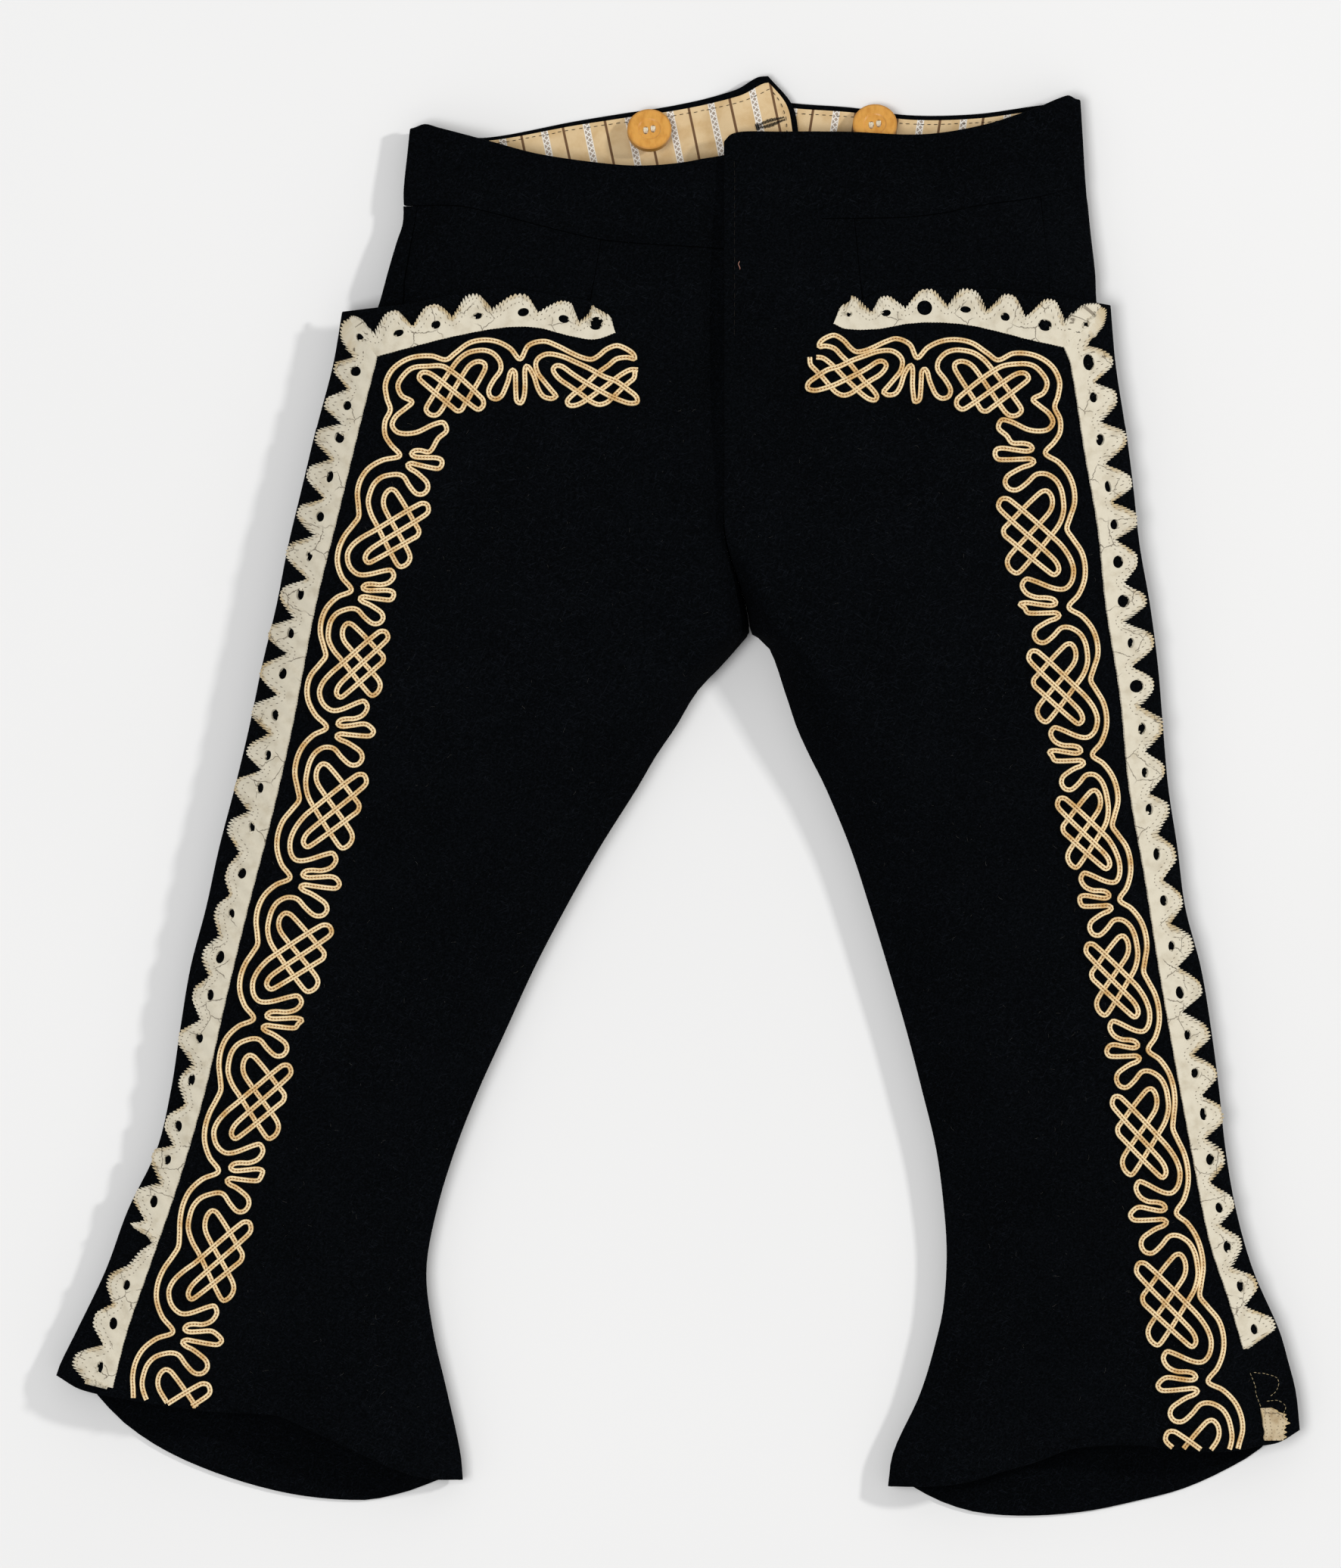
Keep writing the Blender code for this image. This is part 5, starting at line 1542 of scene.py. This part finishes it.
@dataclass
class Soutache:
    """The gold braid of one half: its scalloped outer line and its knotwork."""

    half: Half
    gold: Material
    width: float = 1.92
    height: float = 1.0
    step: float = 0.7
    lift: float = 0.03
    over_height: float = 0.9
    hem_margin: float = 0.7
    section: tuple = ((-0.5, 0.0), (-0.5, 0.45), (-0.41, 0.85), (-0.26, 1.0), (-0.1, 0.84), (0.0, 0.6),
                      (0.1, 0.84), (0.26, 1.0), (0.41, 0.85), (0.5, 0.45), (0.5, 0.0))

    def run(self, knots: tuple, repeats: tuple, lean: float = 0.0, squeeze: float = 0.0) -> Callable:
        """Function that carries a repeat's number and an along, out place onto the panel.

        Args:
            knots: Where the repeats meet, in x, y.
            repeats: The depths of each repeat.
            lean: How far a place moves along for each millimetre out.
            squeeze: Share by which the lattice is shorter along the run.

        Returns:
            The function.
        """
        xs = Curve(tuple((number, x) for number, (x, _) in enumerate(knots)))
        ys = Curve(tuple((number, y) for number, (_, y) in enumerate(knots)))
        step = 0.01

        def carry(number: int, place: tuple, fit: bool = True) -> tuple[float, float, float]:
            """X, y, level of one place of a repeat; fit brings the knot to the repeat's own depths.

            Args:
                number: Number of the repeat.
                place: Along and out.
                fit: Whether the depths are fitted.

            Returns:
                X, y and a level of 0.
            """
            along, out = place
            if fit:
                *_, deep, arch = repeats[max(number, 0)]
                out *= deep / KNOT_DEEP if out < 0 else arch / KNOT_ARCH
                along -= squeeze * max(along - SQUEEZE_FROM, 0)
            turns = number + (along + lean * out) / KNOT_PITCH
            inside = min(max(turns, step), len(knots) - 1 - step)
            dx = (xs(inside + step) - xs(inside - step)) / (2 * step)
            dy = (ys(inside + step) - ys(inside - step)) / (2 * step)
            side = self.half.inward * out / math.hypot(dx, dy)
            return (float(xs(inside) + (turns - inside) * dx + side * dy),
                    float(ys(inside) + (turns - inside) * dy - side * dx), 0.0)

        return carry

    @staticmethod
    def over(place: int, first: int, last: int) -> float:
        """Level of a row of the route: 1 where its strand crosses over others."""
        return float(ease(first - 1, first + 1, place) * (1 - ease(last, last + 2, place)))

    def knot_route(self, carry: Callable, number: int, stop: int | None = None) -> list:
        """Places and levels of one repeat of the knotwork.

        Args:
            carry: Function that carries a place onto the panel.
            number: Number of the repeat.
            stop: Row at which it stops.

        Returns:
            Rows of x, y, level.
        """
        rows = [(place, *carry(number, row)) for place, row in enumerate(KNOT)]
        return [(x, y, self.over(place, OVER_START, OVER_END)) for place, x, y, _ in rows][:stop]

    def bumps(self, carry: Callable, number: int, repeat: tuple) -> list:
        """Places of one repeat of the outer line.

        Args:
            carry: Function that carries a place onto the panel.
            number: Number of the repeat.
            repeat: Its depths.

        Returns:
            Rows of x, y, level.
        """
        first, kink, second, *_ = repeat
        rows = [(along, mix(kink * self.kink_rise(along), first, rise)) for along, rise in HALF_BUMP]
        middle = KNOT_PITCH / 2
        rows.append((middle, kink))
        rows += [(KNOT_PITCH - along, mix(kink * self.kink_rise(along), second, rise))
                 for along, rise in reversed(HALF_BUMP[1:])]
        return [carry(number, row, False) for row in rows]

    @staticmethod
    def kink_rise(along: float) -> float:
        """Share of the middle kink's place in the line's low places; it is 0 where two repeats meet."""
        return float(ease(0, KNOT_PITCH / 2, along))

    def corner_route(self) -> list:
        """The braid's way round the corner between the pocket and the leg.

        Returns:
            Rows of x, y, level.
        """
        if self.half.inward < 0:
            return [(x, y, 0.0) for x, y in CORNER_KNOT]
        middle = (LEFT.knots[0][0] + RIGHT.knots[0][0]) / 2
        return [(2 * middle - x, y - 1, 0.0) for x, y in CORNER_KNOT]

    def pocket_start(self, rows: tuple, stretch: float, crossing: tuple = (0, 0)) -> list:
        """One of the braid's two ends at the pocket's inner end.

        Args:
            rows: Its x, y on the right half.
            stretch: How much longer it is than on the right half.
            crossing: First and last row that cross over others.

        Returns:
            Rows of x, y, level.
        """
        half = self.half
        kink = half.pocket_knots[1]
        route = []
        for place, (x, y) in enumerate(rows):
            off = END_FROM - x
            level = self.over(place, *crossing) if crossing[1] else 0.0
            route.append((kink[0] + half.inward * off * stretch, y - off * half.pocket_end_fall,
                          level))
        return route

    def above_hem(self, route: np.ndarray) -> list[np.ndarray]:
        """The lengths of a route that lie on the front, above its hem.

        Args:
            route: Rows of x, y, level.

        Returns:
            The lengths.
        """
        there = route[:, 1] > self.half.front_hem(route[:, 0]) + self.hem_margin
        cuts = np.flatnonzero(np.diff(there.astype(int))) + 1
        lengths = zip(np.split(route, cuts), np.split(there, cuts))
        return [length for length, kept in lengths if kept[0] and len(length) > 3]

    def sweep(self, name: str, route: list) -> Object:
        """Braid laid along a route.

        Args:
            name: Name of the piece.
            route: Rows of x, y, level.

        Returns:
            The piece.
        """
        whole, _ = path_along(route, self.step)
        points, faces, uv, base = [], [], [], 0
        sides = len(self.section)
        for plan in self.above_hem(whole):
            side = side_vectors(plan)
            level = np.clip(plan[:, 2], 0, 1)
            rings = []
            for across, up in self.section:
                shift = across * self.width
                rings.append(self.half.face(plan[:, 0] + side[:, 0] * shift, plan[:, 1] + side[:, 1] * shift,
                                            self.lift + level * self.over_height + up * self.height))
            count = len(plan)
            points.append(np.stack(rings, axis=1).reshape(-1, 3))
            wall, first, last = tube(count, sides, base)
            faces += [*wall.tolist(), first[::-1], last]
            places = np.arange(count)[:, None] * self.step
            across = 0.5 + np.array(self.section)[:, 0]
            uv.append(np.stack(np.broadcast_arrays(across, places), axis=-1).reshape(-1, 2))
            base += count * sides
        piece = add_mesh(name, np.concatenate(points), faces, self.gold)
        add_uv(piece.data, np.concatenate(uv))
        activate(piece)
        bpy.ops.object.mode_set(mode="EDIT")
        bpy.ops.mesh.select_all(action="SELECT")
        bpy.ops.mesh.normals_make_consistent(inside=False)
        bpy.ops.object.mode_set(mode="OBJECT")
        smooth_shade(piece, 65)
        return piece

    def line(self) -> Object:
        """The outer line: two bumps to each repeat, from the pocket's end to the hem.

        Returns:
            The finished piece.
        """
        half = self.half
        route = self.pocket_start(END_LINE, half.end_stretch[0])
        pocket = self.run(half.pocket_knots, (POCKET_REPEAT,) * 2, POCKET_LEAN, POCKET_SQUEEZE)
        route += self.bumps(pocket, 1, POCKET_REPEAT)[:len(HALF_BUMP) + 1]
        x, y = half.knots[0]
        route += [(x - half.inward * across, y + up, 0.0) for across, up in CORNER_LINE]
        leg = self.run(half.knots, half.repeats)
        for number, repeat in enumerate(half.repeats):
            route += self.bumps(leg, number, repeat)
        return dress(self.sweep(f"soutache_line_{half.name}", route), "braid", f"braid_line_{half.name}")

    def knots(self) -> Object:
        """The inner run: fingers, arches and lattice knots.

        Returns:
            The finished piece.
        """
        half = self.half
        route = self.pocket_start(END_KNOT, half.end_stretch[1], END_OVER)
        pocket = self.run(half.pocket_knots, (POCKET_REPEAT,) * 2, POCKET_LEAN, POCKET_SQUEEZE)
        route += self.knot_route(pocket, 1, OVER_END + 1)
        route += self.corner_route()
        leg = self.run(half.knots, half.repeats)
        route += [leg(-1, row) for row in KNOT[LAST_FINGER:]]
        for number in range(len(half.repeats)):
            route += self.knot_route(leg, number)
        return dress(self.sweep(f"soutache_knots_{half.name}", route), "braid", f"braid_knots_{half.name}")


def thread(name: str, runs: list[np.ndarray], radius: float, finish: Material, slot: str,
           sides: int = 5, taper: float = 0.5) -> Object:
    """Short lengths of thread or hair as one piece.

    Args:
        name: Name of the piece.
        runs: For each length, its points in millimetres.
        radius: Its radius in millimetres.
        finish: Its material.
        slot: The record's material slot.
        sides: Number of sides of a length.
        taper: Share of the radius at its ends.

    Returns:
        The finished piece.
    """
    points, faces, base = [], [], 0
    angles = np.linspace(0, 2 * np.pi, sides, endpoint=False)
    for run in runs:
        ahead = np.gradient(run, axis=0)
        ahead /= np.linalg.norm(ahead, axis=1, keepdims=True)
        side = np.cross(ahead, (0.05, 0.02, 1.0))
        side /= np.linalg.norm(side, axis=1, keepdims=True)
        up = np.cross(side, ahead)
        size = np.full(len(run), radius)
        size[[0, -1]] *= taper
        ring = (run[:, None] + size[:, None, None] * (np.cos(angles)[:, None] * side[:, None]
                                                      + np.sin(angles)[:, None] * up[:, None]))
        points.append(ring.reshape(-1, 3))
        wall, first, last = tube(len(run), sides, base)
        faces += [*wall[:, ::-1].tolist(), first, last[::-1]]
        base += len(run) * sides
    piece = add_mesh(name, np.concatenate(points), faces, finish)
    smooth_shade(piece, 60)
    return dress(piece, slot)


def stitches(line: np.ndarray, length: float, gap: float, radius: float, seed: int) -> list[np.ndarray]:
    """Running stitches along a line of surface points.

    Args:
        line: Points in millimetres, close together.
        length: Length of a stitch.
        gap: Gap to the next one.
        radius: Radius of the thread.
        seed: Seed of their small differences.

    Returns:
        The points of each stitch.
    """
    rng = np.random.default_rng(seed)
    runs = np.concatenate([[0], np.cumsum(np.linalg.norm(np.diff(line, axis=0), axis=1))])
    made, start = [], 0.0
    while start + length < runs[-1]:
        size = length * rng.uniform(0.85, 1.1)
        places = start + np.linspace(0, size, 5)
        run = np.stack([np.interp(places, runs, column) for column in line.T], axis=-1)
        run[:, 2] += radius * np.array([-0.7, 0.5, 0.8, 0.5, -0.7])
        run[:, :2] += rng.normal(0, 0.06, 2)
        made.append(run)
        start += size + gap * rng.uniform(0.8, 1.2)
    return made


@dataclass
class Button:
    """Turned horn button that leans on its thread, with two oval holes and the thread in them."""

    half: Half
    horn: Material
    linen: Material
    seat: float
    radius: float = 8.5
    thickness: float = 2.6
    rim: float = 2.6
    dish_radius: float = 4.5
    dish: float = 0.45
    hole: tuple = (2.1, 3.4)
    hole_gap: float = 2.9
    hole_turn: float = 13.0

    def pick(self, piece: Object, radius: float) -> None:
        """Select the top face whose edge has about a radius; the piece is in edit mode.

        Args:
            piece: The disc.
            radius: Radius of the face's edge.
        """
        shape = bmesh.from_edit_mesh(piece.data)
        for part in (*shape.verts, *shape.edges, *shape.faces):
            part.select_set(False)
        top = max(face.calc_center_median().z for face in shape.faces if len(face.verts) > 8)
        for face in shape.faces:
            if len(face.verts) > 8 and abs(face.calc_center_median().z - top) < 1e-6:
                face.select_set(face.verts[0].co.to_2d().length < (radius + 0.3) * MM)
        bmesh.update_edit_mesh(piece.data)

    def disc(self) -> Object:
        """Turn the disc: a rounded rim, a flat ring and a sunk middle with two holes.

        Returns:
            The disc on the origin, its axis along Z.
        """
        bpy.ops.object.select_all(action="DESELECT")
        bpy.ops.mesh.primitive_cylinder_add(vertices=72, radius=self.radius * MM, depth=self.thickness * MM,
                                            location=(0, 0, self.thickness / 2 * MM))
        piece = bpy.context.active_object
        piece.name = piece.data.name = f"horn_button_{self.half.name}"
        bpy.ops.object.mode_set(mode="EDIT")
        self.pick(piece, self.radius)
        bpy.ops.mesh.inset(thickness=self.rim * 0.45 * MM, depth=0.28 * MM)
        bpy.ops.mesh.inset(thickness=(self.radius - self.rim * 0.45 - self.dish_radius) * MM, depth=-0.12 * MM)
        bpy.ops.mesh.inset(thickness=0.5 * MM, depth=-self.dish * MM)
        bpy.ops.object.mode_set(mode="OBJECT")
        turn = math.radians(self.hole_turn)
        for side in (-1, 1):
            bpy.ops.mesh.primitive_cylinder_add(vertices=28, radius=0.5, depth=1, location=(0, 0, 0))
            hole = bpy.context.active_object
            centre = Matrix.Rotation(turn, 4, "Z") @ Vector((side * self.hole_gap / 2 * MM, 0, 0))
            hole.data.transform(Matrix.Translation(centre) @ Matrix.Rotation(turn - 0.25, 4, "Z") @ Matrix.Diagonal(
                (self.hole[0] * MM, self.hole[1] * MM, 12 * MM, 1)))
            cut = piece.modifiers.new("hole", "BOOLEAN")
            cut.operation, cut.solver, cut.object = "DIFFERENCE", "EXACT", hole
            apply_modifiers(piece)
            bpy.data.objects.remove(hole, do_unlink=True)
        bevel = piece.modifiers.new("turned_edges", "BEVEL")
        bevel.width = 0.42 * MM
        bevel.segments = 4
        bevel.limit_method = "ANGLE"
        bevel.angle_limit = math.radians(28)
        apply_modifiers(piece)
        ring = piece.data.attributes.new("ring", "FLOAT", "POINT")
        ring.data.foreach_set("value", [vert.co.to_2d().length / (self.radius * MM) for vert in piece.data.vertices])
        piece.data.materials.clear()
        piece.data.materials.append(self.horn)
        smooth_shade(piece, 35)
        return piece

    def build(self) -> None:
        """Make the button and sew it on."""
        x, y = self.half.button
        tilt = math.radians(self.half.button_tilt)
        stand = Matrix.Translation(Vector((x, y, self.seat)) * MM) @ Matrix.Rotation(-tilt, 4, "X")
        piece = self.disc()
        piece.data.transform(stand)
        dress(piece, "button", f"button_{self.half.name}")
        turn = math.radians(self.hole_turn)
        runs = []
        for side in (-1, 1):
            for place in (-0.62, 0.0, 0.62):
                local = []
                for along, up in ((-1.3, -0.6), (-1.0, 0.9), (-0.3, 1.55), (0.45, 1.6), (1.1, 0.9), (1.35, -0.6)):
                    spot = Matrix.Rotation(turn - 0.25, 4, "Z") @ Vector((place, along, 0))
                    centre = Matrix.Rotation(turn, 4, "Z") @ Vector((side * self.hole_gap / 2, 0, 0))
                    local.append(tuple((stand @ ((centre + spot + Vector((0, 0, up + 0.35))) * MM)) / MM))
                runs.append(np.array(local))
        thread(f"button_thread_{self.half.name}", runs, 0.34, self.linen, "button", sides=8, taper=0.9)


@dataclass
class HandWork:
    """Stitches that show: round the lining, at the buttonhole, down the fly and where leather is lost."""

    dark: Material
    pink: Material
    yellowed: Material
    left_band: Waistband
    right_band: Waistband
    hole_start: tuple = (31.0, 256.6)
    hole_end: tuple = (40.6, 259.6)
    lost_start: tuple = (219.0, -221.0)
    # The last lobes' outline and the strip's inner edge: along, out from the strip's torn end
    lost_lines: tuple = (((0.6, 1.4), (2.6, 6.2), (5.8, 9.8), (9.4, 8.4), (11.4, 4.4)),
                         ((12.4, 3.2), (13.6, 7.4), (16.6, 9.6), (19.4, 7.6)),
                         ((0.4, 0.2), (5.0, 0.5), (9.6, 0.1), (14.0, 0.4)))

    def lining_edges(self) -> None:
        """Dark running stitch that fells each lining to its band, just inside its edge."""
        for seed, band in enumerate((self.left_band, self.right_band)):
            across = np.linspace(0.125, 0.975, 500)
            low, high = 0.23, LINING_TOP - 1.4 / 30
            top = band.back_points(across, np.full(500, high), CLOTH + LINING_LIFT + LINING)
            rise = np.linspace(low, high, 120)
            end = band.back_points(np.full(120, 0.972), rise, CLOTH + LINING_LIFT + LINING)
            start = band.back_points(np.full(120, 0.125), rise, CLOTH + LINING_LIFT + LINING)
            runs = []
            for place, line in enumerate((top, end, start)):
                line = line.reshape(-1, 3) + (0, 0, 0.12)
                runs += stitches(line, 1.5, 1.2, 0.14, 7 * seed + place)
            thread(f"lining_stitches_{band.half.name}", runs, 0.14, self.dark, "lining")

    def buttonhole(self) -> None:
        """Worked buttonhole near the end of the left band: close stitches and a bar at one end."""
        start, end = np.array(self.hole_start), np.array(self.hole_end)
        ahead = (end - start) / np.linalg.norm(end - start)
        side = np.array([-ahead[1], ahead[0]])
        base = CLOTH + LINING + LINING_LIFT
        rise = float(self.left_band.tab_rise(np.array(start[0] + 4)))

        def across_hole(middle: np.ndarray, offs: np.ndarray, heights: tuple) -> np.ndarray:
            """Points of one stitch across the hole.

            Args:
                middle: Place over the slit.
                offs: Distances to its sides.
                heights: Heights over the cloth.

            Returns:
                The points.
            """
            run = np.concatenate([middle + side * offs[:, None], np.array(heights)[:, None]], axis=1)
            run[:, 2] += base + rise
            return run

        runs = []
        for place, share in enumerate(np.linspace(0, 1, 19)):
            reach = 0.55 + 0.75 * math.sin(math.pi * min(share * 1.15, 1)) + 0.12 * math.sin(place * 2.1)
            for way in (-1, 1):
                runs.append(across_hole(mix(start, end, share), way * np.linspace(0.12, reach + 0.35, 4),
                                        (0.1, 0.24, 0.22, 0.0)))
        for shift in (-0.35, 0.0, 0.35):
            foot = start - ahead * (0.6 - shift * 0.3) + ahead * shift
            runs.append(across_hole(foot, np.linspace(-1.5, 1.5, 5), (0.0, 0.25, 0.3, 0.25, 0.0)))
        thread("buttonhole_left", runs, 0.2, self.dark, "lining")

    def fly(self) -> None:
        """Topstitching down the fly, black on black, and a pink thread at the crotch."""
        ys = np.linspace(243, 176, 400)
        line = RIGHT.face(np.full(400, 21.6), ys, 0.06, RIGHT.seat_outer)
        thread("fly_stitches", stitches(line, 2.2, 1.3, 0.13, 5), 0.13, self.dark, "wool")
        ys = np.linspace(204.6, 201.4, 9)
        mark = RIGHT.face(23.4 + 0.3 * np.sin(ys * 2), ys, 0.15)
        thread("thread_mark", [mark], 0.16, self.pink, "wool")

    def lost_leather(self) -> None:
        """Thread left on the wool where the last lobes of the right leg's leather are gone."""
        foot, ahead, out = np.array(self.lost_start), np.array((0.278, -0.961)), np.array((0.961, 0.278))
        runs = []
        for seed, rows in enumerate(self.lost_lines):
            line, _ = path_along(rows, 0.4)
            plan = foot + line[:, :1] * ahead + line[:, 1:] * out
            runs += stitches(RIGHT.face(plan[:, 0], plan[:, 1], 0.08), 1.1, 0.7, 0.12, 20 + seed)
        thread("leather_stitches_right", runs, 0.12, self.yellowed, "leather")


@dataclass
class Lint:
    """Pale specks and short fibres that sit on felted wool."""

    pale: Material
    count: int = 420
    shortest: float = 0.35
    longest: float = 2.6
    radius: float = 0.035
    field: tuple = (-235, 180)

    def scatter(self, half: Half, seed: int) -> None:
        """Lay the fibres on one front.

        Args:
            half: The half.
            seed: Seed of their places.
        """
        rng = np.random.default_rng(seed)
        runs = []
        while len(runs) < self.count:
            y = rng.uniform(*self.field)
            share = rng.uniform(0.06, 0.96)
            x = mix(half.leg_outer(y), half.front_inner(y), share)
            length = self.shortest + self.longest * rng.random() ** 4
            turn, bend = rng.uniform(0, math.pi), rng.normal(0, 0.8)
            angles = turn + bend * np.linspace(-0.5, 0.5, 5)
            steps = np.stack([np.cos(angles), np.sin(angles)], axis=-1) * length / 5
            plan = np.array([x, y]) + np.cumsum(steps, axis=0)
            runs.append(half.face(plan[:, 0], plan[:, 1], 0.05 + rng.uniform(0, 0.06)))
        thread(f"lint_{half.name}", runs, self.radius, self.pale, "wool", sides=3)


@dataclass
class Studio:
    """Pale floor, soft lights and the camera that looks straight down."""

    middle: tuple = (-2.9, 4.35)
    camera_height: float = 9000.0
    surface: float = 15.0
    picture: tuple = (513.9, 600.9)
    floor_size: float = 6.0
    floor_drop: float = 0.05
    world: float = 0.38
    # Watts, side of the square and place, in metres
    key: tuple = (73.0, 0.35, (3.27, 1.18, 2.53))
    front: tuple = (75.0, 1.8, (-1.2, -0.3, 3.8))

    def floor(self, paper: Material) -> None:
        """Lay the floor just under the garment.

        Args:
            paper: Its material.
        """
        bpy.ops.object.select_all(action="DESELECT")
        bpy.ops.mesh.primitive_plane_add(size=self.floor_size, location=(0, 0, -self.floor_drop * MM))
        piece = bpy.context.active_object
        piece.name = "studio_floor"
        piece.data.materials.append(paper)

    def light(self, name: str, power: float, size: float, place: tuple, colour: str) -> None:
        """Hang a soft light that looks at the garment.

        Args:
            name: Its name.
            power: Watts.
            size: Side of its square, in metres.
            place: Where it hangs, in metres.
            colour: Its colour as sRGB hex.
        """
        data = bpy.data.lights.new(name, "AREA")
        data.energy = power
        data.size = size
        data.color = linear(colour)[:3]
        lamp = bpy.data.objects.new(name, data)
        bpy.context.scene.collection.objects.link(lamp)
        lamp.location = place
        lamp.rotation_euler = (-Vector(place)).to_track_quat("-Z", "Y").to_euler()

    def lights(self) -> None:
        """Key from the upper right, a large soft light from above, and a pale room."""
        self.light("key", *self.key, "FFFEFC")
        self.light("front", *self.front, "FFFFFF")
        world = bpy.data.worlds.new("pale_room")
        world.use_nodes = True
        ground = world.node_tree.nodes["Background"]
        ground.inputs["Color"].default_value = linear("FFFFFF")
        ground.inputs["Strength"].default_value = self.world
        bpy.context.scene.world = world

    def camera(self) -> None:
        """Set the camera at the photo's angle, with its sharpness even all over."""
        data = bpy.data.cameras.new("overhead")
        data.sensor_fit = "AUTO"
        data.sensor_width = 36
        data.lens = 36 * (self.camera_height - self.surface) / max(self.picture)
        data.clip_start, data.clip_end = 0.1, 20
        data.dof.use_dof = False
        eye = bpy.data.objects.new("overhead", data)
        bpy.context.scene.collection.objects.link(eye)
        eye.location = Vector((*self.middle, self.camera_height)) * MM
        bpy.context.scene.camera = eye
        bpy.context.scene.view_settings.view_transform = "Standard"
        bpy.context.scene.view_settings.look = "None"


def button_seat(half: Half, foot: float) -> float:
    """Height at which a leaning button's foot rests on the lining.

    Args:
        half: The half it belongs to.
        foot: Radius of its foot.

    Returns:
        Height of the middle of its underside.
    """
    tilt = math.radians(half.button_tilt)
    x, y = half.button
    edge = mix(BACK_SEAM_Y + GAP, float(max(half.back_top(x - foot / 2), half.back_top(x + foot / 2))), LINING_TOP)
    drop = min(foot * math.sin(tilt), (edge - y) * math.tan(tilt))
    return CLOTH + LINING + 2 * GAP + LINING_LIFT + drop


def main() -> None:
    """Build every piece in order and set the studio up."""
    logging.basicConfig(level=logging.INFO, format="%(message)s")
    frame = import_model()
    LOG.info("parts of the frame: %s", len(frame["nodes"]))
    wool = WoolBroadcloth().material()
    cotton = CottonTwill().material()
    skin = TawedLeather().material()
    gold = GoldSoutache().material()
    horn = TurnedHorn().material()
    dark = SpunThread(name="black_thread").material()
    pink = SpunThread(name="faded_thread", colour="#a8786a", shade="#8a6558").material()
    yellowed = SpunThread(name="yellowed_thread", colour="#b9a984", shade="#7d7052").material()
    linen = SpunThread(name="linen_thread", colour="#efe6d2", shade="#cfc2a6").material()
    pale = SpunThread(name="wool_lint", colour="#55534f", shade="#2c2b2a").material()
    paper = MattPaper().material()
    bands = []
    for half in (LEFT, RIGHT):
        panels = WoolPanels(half, wool)
        for make in (panels.front, panels.hip, panels.back):
            LOG.info("made %s", make().name)
        band = Waistband(half, wool, cotton, panels.head_edge(), stripe_turn=12.0 if half is LEFT else 9.0)
        for make in (band.front, band.back, band.lining):
            LOG.info("made %s", make().name)
        bands.append(band)
    pocket = {"strip": Strip.POCKET, "skin": skin, "eyelet": (4.1, 2.8)}
    leg = {"strip": Strip.LEG, "skin": skin, "eyelet": (4.5, 2.8)}
    trims = (
        LeatherTrim(LEFT, start=(0.0, 6.5), lobes=LEFT_POCKET_LOBES, wide={0: (5.6, 4.4), 1: (4.6, 3.4)}, **pocket),
        LeatherTrim(RIGHT, start=(0.0, 7.0), lobes=RIGHT_POCKET_LOBES,
                    wide={0: (3.2, 2.2), 2: (5.4, 5.0), 5: (5.1, 4.9)}, **pocket),
        LeatherTrim(LEFT, start=(2.6, 7.6), lobes=LEFT_LEG_LOBES, wide={0: (3.9, 3.6), 1: (4.0, 3.6), 2: (4.1, 3.4)},
                    torn=((344.5, 361.0, LOST_LOBE),), cut=(0.019, 0.42, 0.0062), **leg),
        LeatherTrim(RIGHT, start=(3.4, 7.2), lobes=RIGHT_LEG_LOBES,
                    wide={0: (6.4, 3.8), 1: (4.4, 3.4), 5: (4.6, 4.2), 6: (4.7, 4.2), 8: (4.8, 5.2)},
                    cut=(0.019, 0.41, 0.0058), **leg),
    )
    for trim in trims:
        LOG.info("made %s", trim.build().name)
    soiled = TawedLeather("soiled_tawed_leather", ground="#c6b596", soiled="#9c835e").material()
    LOG.info("made %s", LeatherScrap(RIGHT, soiled).build().name)
    for half in (LEFT, RIGHT):
        braid = Soutache(half, gold)
        for make in (braid.line, braid.knots):
            LOG.info("made %s", make().name)
        Button(half, horn, linen, button_seat(half, 7.0)).build()
        LOG.info("made the button of the %s half", half.name)
    work = HandWork(dark, pink, yellowed, bands[0], bands[1])
    for make in (work.lining_edges, work.buttonhole, work.fly, work.lost_leather):
        make()
    lint = Lint(pale)
    lint.scatter(LEFT, 3)
    lint.scatter(RIGHT, 4)
    LOG.info("made the stitches and the lint")
    studio = Studio()
    studio.floor(paper)
    studio.lights()
    studio.camera()


if __name__ == "__main__":
    main()
